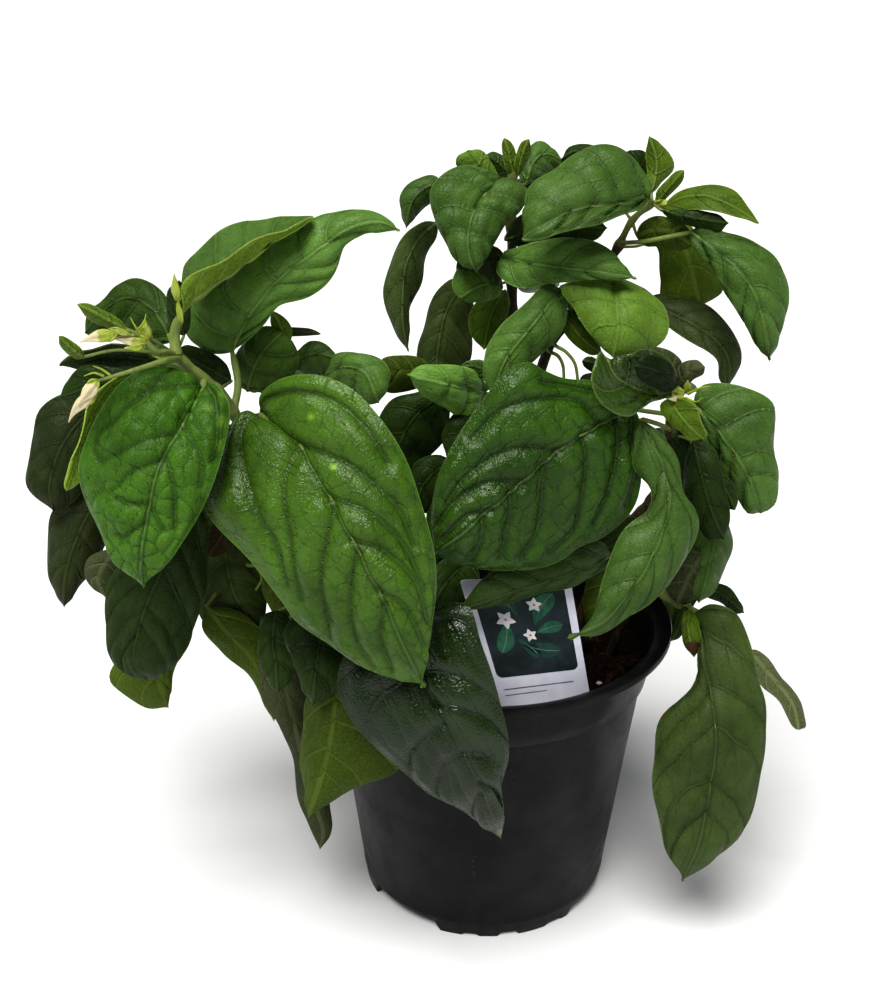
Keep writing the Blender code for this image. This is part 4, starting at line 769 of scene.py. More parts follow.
# Small and half hidden leaves that fill the crown.
FILL = [
    Leaf("leaf_small_left_dark", "vine_left", 5.3, [],
         [(156, 372, -56), (126, 378, -57), (92, 386, -58), (58, 398, -58)],
         [(128, 368), (100, 366), (80, 369), (66, 382)], [(132, 396), (104, 408), (74, 410)], (4, 5), "dark"),
    Leaf("leaf_small_left_grey", "vine_left_low", 3.6, [],
         [(122, 546, -28), (106, 562, -30), (98, 580, -31), (106, 598, -31)],
         [(104, 552), (88, 560), (86, 578)], [(126, 560), (120, 578), (112, 592)], (3, 3), "grey"),
    Leaf("leaf_olive_front", "vine_left_low", 1.6, [],
         [(206, 606, -34), (228, 634, -37), (252, 660, -38), (268, 690, -39), (274, 722, -39)],
         [(204, 628), (222, 652), (246, 669), (258, 690)], [(240, 612), (268, 640), (282, 676), (280, 704)], (4, 4), "lit"),
    Leaf("leaf_dark_front", "vine_front", 3.5, [],
         [(276, 610, -58), (273, 640, -63), (276, 668, -66), (278, 693, -66)],
         [(262, 618), (259, 640), (261, 664), (270, 684)], [(288, 616), (300, 645), (300, 665), (288, 682)], (4, 4), "dark"),
    Leaf("leaf_small_brown", "vine_left_low", 2.2, [],
         [(232, 516, -24), (226, 528, -28), (218, 542, -30), (208, 556, -30)],
         [(220, 516), (211, 528), (205, 544)], [(238, 528), (232, 546), (218, 556)], (2, 2), "brown"),
    Leaf("leaf_small_olive", "vine_left_low", 1.4, [],
         [(270, 566, -32), (276, 584, -36), (280, 604, -38), (284, 624, -38)],
         [(263, 576), (265, 596), (274, 614)], [(283, 572), (291, 590), (291, 610)], (3, 3), "lit"),
    Leaf("leaf_node_bit", "vine_left", 6.0, [],
         [(184, 336, -50), (178, 318, -50), (175, 300, -49), (179, 280, -48)],
         [(174, 330), (167, 312), (168, 292)], [(190, 326), (190, 306), (186, 288)], (2, 2), "dark"),
    Leaf("leaf_dark_node", "vine_left", 4.4, [],
         [(232, 382, -38), (214, 371, -38), (196, 361, -38), (176, 350, -38)],
         [(226, 364), (206, 351), (188, 345)], [(222, 388), (206, 386), (190, 374)], (3, 3), "dark"),
    Leaf("leaf_dark_mid", "vine_top", 2.0, [],
         [(486, 412, 8), (472, 420, 2), (458, 434, -2), (446, 456, -4)],
         [(470, 404), (454, 414), (442, 436)], [(484, 428), (470, 444), (456, 458)], (3, 3), "dark"),
    Leaf("leaf_under_bright", "vine_top", 4.3, [],
         [(504, 240, 24), (530, 232, 18), (566, 226, 12), (608, 228, 8)],
         [(520, 216), (552, 208), (590, 212)], [(526, 248), (560, 247), (594, 240)], (4, 4), "dark"),
    Leaf("leaf_flat_left", "vine_top", 3.9, [],
         [(506, 262, 20), (490, 262, 14), (474, 268, 10), (456, 284, 8)],
         [(494, 246), (474, 248), (458, 262)], [(500, 282), (484, 296), (464, 300)], (4, 4), "shade"),
    Leaf("leaf_sliver_yellow", "vine_top_right", 3.8, [],
         [(560, 308, 6), (572, 326, 0), (584, 340, -3), (602, 354, -4)],
         [(572, 312), (588, 330), (598, 342)], [(562, 326), (574, 344), (590, 354)], (2, 2), "young"),
    Leaf("leaf_dark_twist", "vine_right", 3.6, [],
         [(680, 430, -30), (690, 446, -32), (700, 466, -34), (706, 490, -34)],
         [(672, 440), (678, 462), (690, 484)], [(694, 432), (708, 452), (712, 476)], (2, 2), "dark"),
    Leaf("leaf_cup_inside", "vine_right", 5.0, [],
         [(679, 385, -60), (665, 375, -65), (650, 368, -67), (634, 366, -68)],
         [(669, 363), (652, 355), (640, 358)], [(666, 392), (652, 387), (639, 378)], (2, 2), "dark"),
    Leaf("leaf_mid_left", "vine_middle", 4.0, [],
         [(292, 364, -24), (308, 355, -27), (324, 355, -29), (342, 362, -30)],
         [(298, 350), (312, 342), (330, 348)], [(304, 372), (320, 376), (334, 373)], (4, 4), "mid"),
    Leaf("leaf_mid_tip", "vine_middle", 4.0, [(290, 346, -26)],
         [(288, 342, -29), (282, 330, -30), (278, 320, -30), (272, 311, -30)],
         [(278, 338), (273, 328), (271, 318)], [(292, 336), (290, 326), (282, 316)], (2, 2), "young"),
    Leaf("leaf_mid_sliver", "vine_middle", 4.0, [],
         [(284, 332, -24), (296, 330, -25), (308, 331, -26), (321, 334, -26)],
         [(290, 328), (302, 328), (314, 331)], [(290, 336), (302, 335), (314, 335)], (2, 2), "grey"),
    Leaf("leaf_hollow_dark", "vine_top", 2.1, [],
         [(446, 392, 8), (420, 412, 5), (402, 438, 3), (394, 472, 2)],
         [(420, 392), (392, 400), (378, 428), (382, 458)], [(450, 412), (442, 442), (416, 468)], (6, 6), "dark"),
    Leaf("leaf_hollow_low", "vine_top", 1.5, [],
         [(456, 462, 2), (438, 470, -4), (423, 486, -7), (414, 512, -7)],
         [(436, 456), (414, 464), (407, 488)], [(456, 478), (450, 496), (430, 512)], (4, 4), "dark"),
    Leaf("leaf_hollow_deep", "vine_top", 1.2, [],
         [(456, 486, -4), (446, 512, -9), (440, 540, -12), (438, 566, -12)],
         [(438, 492), (427, 514), (427, 544)], [(464, 500), (462, 530), (452, 556)], (4, 4), "dark"),
    Leaf("leaf_hollow_base", "vine_top", 0.9, [],
         [(470, 560, -10), (452, 576, -24), (440, 592, -32), (430, 612, -36)],
         [(452, 556), (434, 570), (426, 592)], [(478, 576), (470, 596), (450, 612)], (4, 4), "dark"),
    Leaf("leaf_top_pale", "vine_top", 5.0, [],
         [(496, 184, 26), (484, 170, 25), (476, 160, 25), (468, 150, 25)],
         [(476, 182), (459, 170), (457, 158)], [(496, 172), (490, 161), (480, 151)], (3, 3), "bright"),
    Leaf("leaf_top_mid", "vine_top", 5.4, [],
         [(512, 178, 31), (504, 168, 32), (496, 161, 32), (485, 155, 32)],
         [(504, 180), (492, 172), (485, 163)], [(515, 166), (505, 157), (494, 152)], (3, 3), "mid"),
    Leaf("leaf_top_bract_a", "vine_top", 5.9, [],
         [(514, 176, 26), (511, 164, 25), (508, 150, 25), (504, 138, 25)],
         [(507, 170), (503, 156), (502, 144)], [(517, 164), (515, 152), (510, 142)], (1, 2), "young"),
    Leaf("leaf_top_bract_b", "vine_top", 5.9, [],
         [(517, 176, 26), (520, 164, 24), (524, 150, 24), (529, 139, 24)],
         [(514, 166), (517, 152), (522, 142)], [(523, 170), (529, 156), (530, 146)], (1, 2), "young"),
    Leaf("leaf_top_back_a", "vine_top_right", 7.0, [(614, 196, 30)],
         [(606, 178, 32), (590, 160, 33), (576, 151, 33), (561, 159, 33)],
         [(588, 174), (574, 168), (563, 166)], [(606, 160), (592, 145), (573, 146)], (4, 4), "dark"),
    Leaf("leaf_top_back_b", "vine_top_right", 7.8, [],
         [(650, 198, 24), (644, 178, 26), (638, 162, 27), (630, 150, 28)],
         [(636, 190), (622, 172), (618, 156)], [(653, 182), (653, 164), (644, 151)], (3, 3), "dark"),
    Leaf("leaf_bud_right", "vine_top_right", 8.0, [],
         [(657, 202, 10), (666, 191, 8), (675, 180, 7), (684, 170, 6)],
         [(657, 192), (667, 180), (676, 172)], [(666, 198), (676, 188), (683, 178)], (2, 2), "young"),
    Leaf("leaf_strip_right", "vine_top_right", 8.0, [],
         [(660, 210, 2), (684, 216, 0), (706, 220, -2), (729, 223, -3)],
         [(672, 210), (694, 210), (716, 214)], [(674, 220), (694, 227), (716, 233)], (2, 4), "dark"),
    Leaf("leaf_hood_right", "vine_top_right", 7.0, [],
         [(636, 236, 10), (654, 230, 8), (672, 232, 6), (694, 246, 6)],
         [(642, 224), (660, 216), (684, 226)], [(646, 246), (662, 246), (680, 250)], (3, 3), "lit"),
    Leaf("leaf_olive_top", "vine_top", 3.2, [],
         [(506, 290, 26), (494, 308, 26), (488, 328, 26), (484, 350, 26)],
         [(486, 294), (470, 313), (470, 332)], [(508, 306), (504, 324), (494, 340)], (3, 3), "young"),
    Leaf("leaf_olive_mid", "vine_top", 2.4, [],
         [(432, 372, 12), (412, 371, 10), (396, 372, 8), (376, 374, 8)],
         [(424, 360), (404, 356), (384, 358)], [(422, 384), (404, 392), (386, 390)], (3, 3), "lit"),
    Leaf("leaf_tip_mid", "vine_top", 2.5, [],
         [(494, 374, 2), (480, 368, 1), (470, 366, 1), (458, 370, 1)],
         [(484, 361), (474, 360), (464, 363)], [(484, 378), (474, 376), (464, 374)], (1, 1), "mid"),
    Leaf("leaf_bit_centre", "vine_right", 5.0, [(606, 372, -28)],
         [(602, 370, -30), (596, 365, -30), (590, 362, -30), (582, 361, -30)],
         [(598, 362), (592, 357), (586, 357)], [(598, 374), (590, 371), (584, 366)], (1, 1), "dark"),
    Leaf("leaf_under_tip_right", "vine_right", 5.0, [],
         [(678, 388, -44), (684, 377, -47), (693, 369, -48), (705, 367, -48)],
         [(676, 374), (682, 363), (696, 360)], [(686, 386), (695, 378), (703, 373)], (2, 2), "grey"),
    Leaf("leaf_cup_back", "vine_right", 5.0, [(676, 384, -40)],
         [(672, 376, -44), (662, 364, -47), (654, 358, -48), (642, 356, -48)],
         [(664, 380), (652, 372), (644, 364)], [(682, 364), (670, 352), (652, 347)], (3, 3), "grey"),
    Leaf("leaf_young_right", "vine_right", 5.0, [],
         [(670, 398, -54), (676, 409, -60), (687, 423, -62), (704, 439, -62)],
         [(661, 405), (665, 415), (677, 428), (691, 438)], [(682, 398), (695, 405), (702, 420), (707, 434)], (4, -3), "young"),
    Leaf("leaf_dark_right", "vine_right", 3.8, [(708, 462, -38)],
         [(714, 472, -46), (722, 484, -47), (729, 496, -47), (735, 510, -47)],
         [(714, 484), (720, 498), (728, 508)], [(724, 474), (734, 486), (738, 500)], (2, 2), "dark"),
    Leaf("leaf_grey_low_right", "vine_right", 1.2, [(690, 540, -16)],
         [(702, 552, -22), (692, 570, -25), (684, 588, -26), (677, 604, -26)],
         [(686, 550), (674, 568), (669, 592)], [(708, 566), (704, 586), (690, 602)], (4, 4), "grey"),
    Leaf("leaf_dark_low_right", "vine_low_right", 2.4, [(692, 590, -20)],
         [(706, 586, -20), (720, 593, -20), (732, 602, -20), (744, 613, -20)],
         [(716, 583), (730, 589), (740, 602)], [(706, 595), (720, 602), (734, 612)], (3, 3), "dark"),
    Leaf("leaf_sliver_low_right", "vine_low_right", 2.6, [],
         [(686, 606, -26), (682, 617, -28), (678, 628, -28), (671, 641, -28)],
         [(681, 608), (676, 620), (672, 632)], [(690, 616), (686, 628), (678, 638)], (1, 1), "dark"),
    Leaf("leaf_brown_label", "vine_right", 0.9, [],
         [(612, 562, -30), (602, 586, -34), (596, 612, -36), (590, 640, -36)],
         [(594, 564), (585, 590), (585, 618)], [(618, 580), (613, 602), (602, 624)], (3, 3), "lit"),
    Leaf("leaf_dark_under", "vine_right", 1.6, [],
         [(646, 520, -28), (622, 538, -34), (594, 556, -38), (560, 578, -42)],
         [(624, 518), (594, 532), (566, 558)], [(650, 540), (628, 562), (592, 578)], (4, 4), "dark"),
    Leaf("leaf_young_low_right", "vine_low_right", 3.0, [],
         [(690, 610, -28), (688, 624, -38), (690, 640, -41), (694, 657, -41)],
         [(684, 614), (682, 628), (685, 644)], [(697, 616), (699, 630), (700, 646)], (2, 2), "young"),
]
# Heights of the blisters between side veins and inside them, where a leaf differs from its kind.
QUILT = {
    "leaf_left_big": (2.9, 0.10), "leaf_left_front": (1.6, 0.95), "leaf_right_big": (2.7, 0.6), "leaf_left_high": (1.5, 0.15),
    "leaf_top_bright": (1.3, 1.2), "leaf_right_side": (1.6, 0.9), "leaf_right_twist": (1.5, 0.2), "leaf_front_dark": (1.5, 0.5),
    "leaf_right_hanging": (1.9, 0.25), "leaf_right_high": (1.3, 0.8), "leaf_centre_flat": (1.2, 0.5), "leaf_under_big": (1.1, 0.5),
    "leaf_left_folded": (0.4, 0.6), "leaf_right_cup": (0.8, 0.9), "leaf_centre_low": (1.4, 0.7), "leaf_top_heart": (1.4, 0.9),
}
# How much lighter or darker than its kind a leaf is: partly its own tone, partly painted light on leaves that lie in
# shade and painted shade on others.
TONE_AND_PAINTED_LIGHT = {
    "leaf_left_high": 2.1, "leaf_left_hanging": 0.8, "leaf_top_bright": 1.2, "leaf_right_side": 1.3, "leaf_right_high": 1.2,
    "leaf_top_heart": 1.15, "leaf_centre_bright": 1.05, "leaf_hollow_grey": 1.8, "leaf_left_folded": 1.4, "leaf_centre_flat": 1.9,
    "leaf_centre_hanging": 1.7, "leaf_outer_high": 0.85, "leaf_under_big": 0.7, "leaf_right_cup": 0.6, "leaf_cup_inside": 0.45, "leaf_outer_low": 0.8,
    "leaf_left_back": 1.5, "leaf_back_left": 1.6, "leaf_right_lit": 1.2, "leaf_right_dark": 1.3, "leaf_right_inner": 0.7,
    "leaf_top_hanging": 2.0, "leaf_mid_veined": 2.4, "leaf_front_small": 0.75, "leaf_centre_low": 3.2, "leaf_mid_bright": 1.7,
    "leaf_right_low": 1.2, "leaf_top_right_lit": 0.8, "leaf_left_edge": 2.0, "leaf_right_narrow": 2.2, "leaf_centre_left": 3.6,
    "leaf_top_round": 1.4, "leaf_front_dark": 0.5, "leaf_front_yellow": 0.8, "leaf_left_front": 1.6, "leaf_left_big": 1.05,
}
# Stalks that are thicker than the rest, radius in millimetres.
STALK_R = {"leaf_left_folded": 2.0, "leaf_left_high": 1.5, "leaf_left_front": 1.3, "leaf_left_edge": 1.5, "leaf_left_big": 1.4}
# Side veins of the largest leaves, laid out on the front view.
SIDE_VEINS = {
    "leaf_left_big": [
        [(262, 414), (246, 424), (241, 450), (247, 480), (262, 520), (277, 548), (290, 586)],
        [(258, 411), (270, 398), (300, 392), (336, 402), (366, 428), (388, 462)],
        [(298, 444), (340, 460), (375, 485), (400, 512), (414, 545)], [(330, 498), (368, 512), (404, 545), (424, 590)],
        [(352, 540), (385, 552), (414, 580), (428, 622)], [(378, 590), (404, 606), (424, 645)],
        [(335, 508), (325, 545), (322, 590), (330, 640)], [(300, 446), (286, 480), (288, 530), (302, 600)],
        [(358, 552), (350, 590), (356, 640), (374, 668)], [(385, 604), (380, 640), (392, 672)]],
    "leaf_left_front": [
        [(200, 386), (180, 388), (156, 391), (144, 396), (127, 408), (115, 420), (101, 432), (96, 446), (99, 458)],
        [(173, 434), (159, 436), (142, 441), (128, 449), (113, 456), (103, 461)],
        [(163, 460), (151, 463), (139, 468), (128, 475), (120, 484), (111, 491)],
        [(149, 503), (139, 504), (128, 503), (118, 497)], [(144, 523), (133, 530), (127, 535), (120, 533)],
        [(207, 386), (216, 400), (218, 424), (216, 451), (212, 461)], [(180, 418), (190, 437), (199, 454), (202, 466), (199, 485)],
        [(166, 458), (171, 472), (175, 489), (175, 506), (175, 526)], [(149, 506), (156, 516), (163, 528)]],
    "leaf_right_big": [
        [(556, 451), (530, 447), (500, 453), (465, 477), (446, 505)], [(600, 425), (575, 400), (530, 400), (500, 410), (474, 436)],
        [(582, 436), (586, 470), (580, 508), (573, 530), (548, 552)], [(616, 418), (618, 450), (610, 486), (594, 524)],
        [(543, 466), (542, 500), (537, 530), (520, 558)], [(510, 492), (509, 520), (500, 556)], [(482, 516), (480, 540), (470, 560)],
        [(520, 484), (490, 482), (458, 498), (438, 524)], [(490, 510), (466, 516), (442, 540)],
        [(632, 410), (632, 440), (636, 470), (626, 506)], [(620, 414), (604, 396), (570, 386), (540, 382)]],
}
SPOTS = {"leaf_left_big": [(313, 417, 3.2, 0.55), (335, 467, 2.4, 0.9)],
         "leaf_front_dark": [(502, 834, 4, 0.8)], "leaf_front_yellow": [(310, 811, 5, 0.6)],
         "leaf_left_front": [(209, 410, 5, 0.35), (223, 422, 7, 0.35), (222, 396, 6, 0.3), (220, 446, 7, 0.3), (136, 397, 2.5, 0.35)]}


def even(points, count=200):
    """A smooth curve through points, resampled in steps of equal length in the view."""
    fine = curve_at(points, np.linspace(0, len(points) - 1, 801))
    run = np.concatenate([[0], np.cumsum(np.hypot(*np.diff(fine[:, :2], axis=0).T))])
    want = np.linspace(0, run[-1], count + 1)
    return np.stack([np.interp(want, run, fine[:, k]) for k in range(3)], 1)


def pick(curve, t):
    f = np.clip(t, 0, 1) * (len(curve) - 1)
    return np.stack([np.interp(f, np.arange(len(curve)), curve[:, k]) for k in range(3)], -1)


def to_path(p, line):
    """Distance from points p to a polyline."""
    best = np.full(p.shape[:-1], 1e9)
    for a, b in zip(line, line[1:]):
        ab = b - a
        f = np.clip(((p - a) @ ab) / max(ab @ ab, 1e-9), 0, 1)
        best = np.minimum(best, np.linalg.norm(p - a - f[..., None] * ab, axis=-1))
    return best


def blade_grid(leaf, rows, cols):
    """A leaf of the table as a grid of points, and the same grid in the front view."""
    base, tip = leaf.rib[0], leaf.rib[-1]
    rib = even(leaf.rib)
    edges = [even([(p[0], p[1], 0) for p in [base] + side + [tip]]) for side in (leaf.edge_a, leaf.edge_b)]
    t = np.linspace(0, 1, rows + 1)
    s = np.linspace(-1, 1, cols + 1)
    t = t - 0.04 * np.sin(2 * math.pi * t) * 0.5
    m = pick(rib, t)[:, None, :]
    q = np.abs(s)[None, :, None]
    e = np.where((s < 0)[None, :, None], pick(edges[0], t)[:, None, :], pick(edges[1], t)[:, None, :])
    fall = np.where(s < 0, leaf.fall[0], leaf.fall[1])[None, :] * np.sin(math.pi * t)[:, None] ** 0.6
    view = m + (e - m) * q
    view[..., 2] = m[..., 2] + fall * q[..., 0] ** 1.6
    return spot(view), view, t, s


def leaf_piece(leaf, P, view, t, s, stalk, toward, veins=None):
    """One leaf: a closed quilted blade and its stalk, which runs into the vine."""
    name = leaf.name
    rng = np.random.default_rng(seed_of(name))
    rows, cols = len(t) - 1, len(s) - 1
    n = unit(np.cross(np.gradient(P, axis=0), np.gradient(P, axis=1)))
    n[0], n[-1] = n[1].mean(0), n[-2].mean(0)
    n = unit(n)
    inner = n[2:-2].reshape(-1, 3)
    flip = (inner * unit(toward - P[2:-2].reshape(-1, 3))).sum(1).mean() < 0
    if flip:
        n = -n
    # soften the normals so that a crease at the midrib can't fold the shell
    for _ in range(3):
        n[1:-1, 1:-1] = unit(n[1:-1, 1:-1] * 2 + n[:-2, 1:-1] + n[2:, 1:-1] + n[1:-1, :-2] + n[1:-1, 2:])
    mid = cols // 2
    across = np.linalg.norm(np.diff(P, axis=1), axis=2)
    X = np.zeros(P.shape[:2])
    X[:, mid + 1:] = np.cumsum(across[:, mid:], axis=1)
    X[:, :mid] = -np.cumsum(across[:, :mid][:, ::-1], axis=1)[:, ::-1]
    half = np.where(s[None, :] < 0, -X[:, :1], X[:, -1:])
    run = np.concatenate([[0], np.cumsum(np.linalg.norm(np.diff(P[:, mid], axis=0), axis=1))])
    length = run[-1]
    T = np.repeat((run / length)[:, None], cols + 1, 1)
    Q = np.repeat(np.abs(s)[None, :], rows + 1, 0)
    wide = half.max()
    # side veins: a phase that is whole on each vein
    count = 5.0 if length > 75 else 4.0 if length > 45 else 3.0
    w = 0.72 * Q + 0.28 * Q ** 3
    lean = 0.27 + 0.05 * np.where(s < 0, rng.uniform(-1, 1), rng.uniform(-1, 1))[None, :]
    start = (T - lean * w) / (1 - 0.13 * w) + np.where(s < 0, rng.uniform(-0.03, 0.03), rng.uniform(-0.03, 0.03))[None, :]
    start = start + 0.022 * np.sin(start * 17 + rng.uniform(0, 6.28) + np.where(s < 0, 0, 2)[None, :]) + 0.008 * wobble(P, 22, rng, 2)
    phase = np.where(start > 0.03, count * (np.maximum(start - 0.03, 0) / 0.80) ** 1.1, count * (start - 0.03) / 0.80)
    phase = np.minimum(phase, count - 0.55)
    gap = length * 0.80 / count * 0.82
    if veins:
        d2 = np.full(P.shape[:2], 1e9)
        per_unit = ((P - EYE) @ FWD) / SCALE
        for line in veins:
            fine = curve_at([(u, v, 0) for u, v in line], np.linspace(0, len(line) - 1, 8 * len(line)))
            d2 = np.minimum(d2, to_path(view[..., :2], fine[:, :2]) * per_unit)
        phase, gap = np.minimum(d2 / 30.0, 0.499), 30.0
    else:
        d2 = np.abs(phase - np.round(phase)) * gap
    # small cells between the side veins
    size = 6.6 if length > 75 else 5.4 if length > 45 else 4.2
    cell = np.full(P.shape[:2], 9.0)
    for side in (-1, 1):
        cols_here = np.where((s * side) >= 0)[0]
        if veins:
            A, B = T[:, cols_here] * length, np.abs(X[:, cols_here])
            na, nb = int(length / size) + 3, int(wide / size) + 3
            seeds = np.array([((i - 1 + rng.uniform(0.1, 0.9)) * size, (j - 0.5 + rng.uniform(0.1, 0.9)) * size)
                              for i in range(na) for j in range(nb)])
        else:
            A, B = phase[:, cols_here] * gap, np.abs(X[:, cols_here])
            tall = max(gap, 4.0)
            na, nb = int(count * 1.6) + 3, int(wide / size) + 3
            seeds = np.array([((i - 1 + 0.5 + rng.uniform(-0.12, 0.12)) * tall, (j - 0.5 + 0.5 * (i % 2) + rng.uniform(-0.25, 0.25)) * size)
                              for i in range(na) for j in range(nb)])
        a, b = A.ravel(), B.ravel()
        d = np.sqrt((a[:, None] - seeds[None, :, 0]) ** 2 + (b[:, None] - seeds[None, :, 1]) ** 2)
        two = np.partition(d, 1, axis=1)[:, :2]
        cell[:, cols_here] = (two[:, 1] - two[:, 0]).reshape(A.shape)
    h2, h3 = QUILT.get(name, KIND[leaf.kind][2])
    little = min(1.0, wide / 16.0)
    fade = (1 - 0.8 * smooth(Q, 0.8, 1.0)) * smooth(T, 0.0, 0.08) * smooth(1 - T, 0.0, 0.12)
    hills = dome(d2, 6.0 if veins else max(gap * 0.5, 2.0))
    bubbles = dome(cell, size * 0.55)
    rise = fade * little * (h2 * hills + h3 * bubbles * (0.3 + 0.7 * dome(d2, 2.5)))
    rise += 1.1 * little * dome(np.abs(X), 4.5) * smooth(1 - T, 0.0, 0.2)
    rise -= (h2 + 0.6) * 0.6 * little
    rise += fade * 0.6 * little * wobble(P, 24, rng, 2)
    turns = 1.2 + length / 48
    rise += little * 0.8 * Q ** 3 * np.sin(2 * math.pi * turns * T + np.where(s < 0, 0.0, 2.0)[None, :] + rng.uniform(0, 6.28)) \
        * smooth(T, 0.05, 0.2) * smooth(1 - T, 0.03, 0.2)
    rise[0], rise[-1] = rise[1].mean(), rise[-2].mean()
    thick = 0.25 + 0.12 * np.exp(-(X / 1.5) ** 2)
    front = P + n * (rise + thick)[..., None]
    back = P + n * (rise - thick)[..., None]
    front[0], front[-1] = front[0].mean(0), front[-1].mean(0)
    back[0], back[-1] = back[0].mean(0), back[-1].mean(0)

    # vertices: inner rows, then base and tip, first for the front and then for the back
    width = cols + 1
    body = (rows - 1) * width
    co = np.concatenate([front[1:-1].reshape(-1, 3), front[:1, 0], front[-1:, 0],
                         back[1:-1].reshape(-1, 3), back[:1, 0], back[-1:, 0]])
    gi, gj = np.meshgrid(np.arange(rows - 2), np.arange(cols), indexing="ij")
    a = (gi * width + gj).ravel()
    quad = np.stack([a, a + 1, a + width + 1, a + width], 1)
    j = np.arange(cols)
    fan0 = np.stack([np.full(cols, body), j + 1, j], 1)
    low = (rows - 2) * width
    fan1 = np.stack([np.full(cols, body + 1), low + j, low + j + 1], 1)
    off = body + 2
    i = np.arange(rows - 2)
    left = np.stack([i * width, (i + 1) * width, (i + 1) * width + off, i * width + off], 1)
    right = np.stack([i * width + cols, i * width + cols + off, (i + 1) * width + cols + off, (i + 1) * width + cols], 1)
    ends = np.array([[body, 0, off, body + off], [body, body + off, off + cols, cols],
                     [low, body + 1, body + 1 + off, low + off], [low + cols, low + cols + off, body + 1 + off, body + 1]])
    flat_u = np.concatenate([np.tile((s + 1) / 2, rows - 1), [0.5, 0.5]])
    flat_v = np.concatenate([np.repeat(t[1:-1], width), [t[0], t[-1]]])

    def chart(faces, x0, x1, shift=0):
        f = faces - shift
        return np.stack([x0 + (x1 - x0) * flat_u[f], 0.015 + 0.97 * flat_v[f]], -1)

    groups = [(quad, 0, chart(quad, 0.01, 0.425)), (fan0, 0, chart(fan0, 0.01, 0.425)), (fan1, 0, chart(fan1, 0.01, 0.425))]
    for f in (quad, fan0, fan1):
        g = f[:, ::-1] + off
        groups.append((g, 1, chart(g, 0.445, 0.86, off)))
    for f, x0 in ((left, 0.43), (right, 0.437), (ends, 0.43)):
        v = np.repeat((0.015 + 0.97 * (np.arange(len(f)) + 0.5) / len(f))[:, None], 4, 1)
        step = 0.4 / max(len(f), 1)
        square = np.array([[0, -1], [0, 1], [1, 1], [1, -1]]) * np.array([0.005, step])
        uv = np.stack([np.full((len(f), 4), x0), v], -1) + square
        groups.append((f, 0, uv))
    faces, mats, uvs = [], [], []
    for f, m, uv in groups:
        if not flip:
            pass
        else:
            f, uv = f[:, ::-1], uv[:, ::-1]
        faces.extend(f.tolist())
        mats.extend([m] * len(f))
        uvs.extend(uv.tolist())

    def field(g):
        inner = np.concatenate([g[1:-1].ravel(), [g[0].mean(), g[-1].mean()]])
        return np.concatenate([inner, inner])

    edge = (1 - Q) * np.maximum(half, 0.01)
    # tone: the table value is partly painted light and painted shade, the wobble is random tone
    tone = TONE_AND_PAINTED_LIGHT.get(name, 1.0) * (1 + 0.10 * wobble(P, 60, rng, 2))
    spots = np.zeros(P.shape[:2])
    for u, v, r, strong in SPOTS.get(name, ()):
        dist = np.hypot(view[..., 0] - u, view[..., 1] - v) if view is not None else 99
        spots = np.maximum(spots, strong * np.exp(-(dist / r / 1.6) ** 2))
    brown = np.zeros(P.shape[:2])
    if name == "leaf_right_hanging":
        for u, v, r in ((690, 676, 6), (684, 688, 5), (698, 660, 4), (662, 716, 4)):
            brown = np.maximum(brown, np.exp(-(np.hypot(view[..., 0] - u, view[..., 1] - v) / r) ** 2))
    if name == "leaf_young_low_right":
        brown = np.maximum(brown, smooth(T, 0.6, 0.8))
    p = Piece()
    p.shell(co, faces, mats, uvs, phase=field(phase), gap=gap, rib=field(np.where(np.abs(X) > 8, 8.0 * np.sign(X), X)), cell=field(cell), edge=field(edge),
            tone=field(tone), spots=field(spots), brown=field(brown))
    # stalk: from inside the vine to the blade, then on under the midrib
    reach = np.linspace(0, 0.62, 12)
    under = np.array([back[min(int(round(k * rows)), rows), mid] for k in reach]) - n[np.minimum((reach * rows).round().astype(int), rows), mid] * 0.25
    lead = curve_at(np.vstack([stalk, under[:1]]), np.linspace(0, len(stalk), 8 * len(stalk) + 1))
    path = np.concatenate([lead, under[2:]])
    thick_at = STALK_R.get(name, 0.95 if length > 45 else 0.6)
    dist = np.concatenate([[0], np.cumsum(np.linalg.norm(np.diff(path, axis=0), axis=1))])
    to_base = dist[len(lead) - 1]
    under_r = min(thick_at, 0.9)
    radii = np.where(dist < to_base, thick_at * (1.0 + 0.30 * np.exp(-(dist / 3.0) ** 2)) + (under_r - thick_at) * smooth(dist, to_base - 6, to_base),
                     under_r * (1 - 0.75 * smooth(dist - to_base, 0, dist[-1] - to_base + 1e-6)))
    co2, f2, uv2 = tube_shell(path, radii, 10)
    p.shell(co2, f2, 2, uv2, age=np.repeat(0.15 + 0.2 * rng.random(), len(co2)))
    mats = KIND[leaf.kind]
    node = [name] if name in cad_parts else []
    return p.make(name + "_blade", [mats[0], mats[1], STALK], node)


def view_leaf(leaf):
    P, view, _, _ = blade_grid(leaf, 12, 8)
    length = np.linalg.norm(np.diff(P[:, 4], axis=0), axis=1).sum()
    wide = np.linalg.norm(np.diff(P, axis=1), axis=2).sum(1).max()
    step = 0.95 if leaf.name in SIDE_VEINS else 1.15 if length * wide > 2400 else 1.35
    rows = int(min(max(length / step, 18), 150) * COARSE) + 2
    cols = 2 * int(min(max(wide / step / 2, 6), 56) * COARSE)
    P, view, t, s = blade_grid(leaf, rows, cols)
    stalk = [vine_point(leaf.vine, leaf.at)] + [spot(q) for q in leaf.stalk] + [spot(leaf.rib[0])]
    if leaf.stalk and np.linalg.norm(stalk[-1] - stalk[-2]) < 2:
        stalk.pop(-2)
    return leaf_piece(leaf, P, view, t, s, np.array(stalk[:-1]), EYE, SIDE_VEINS.get(leaf.name))


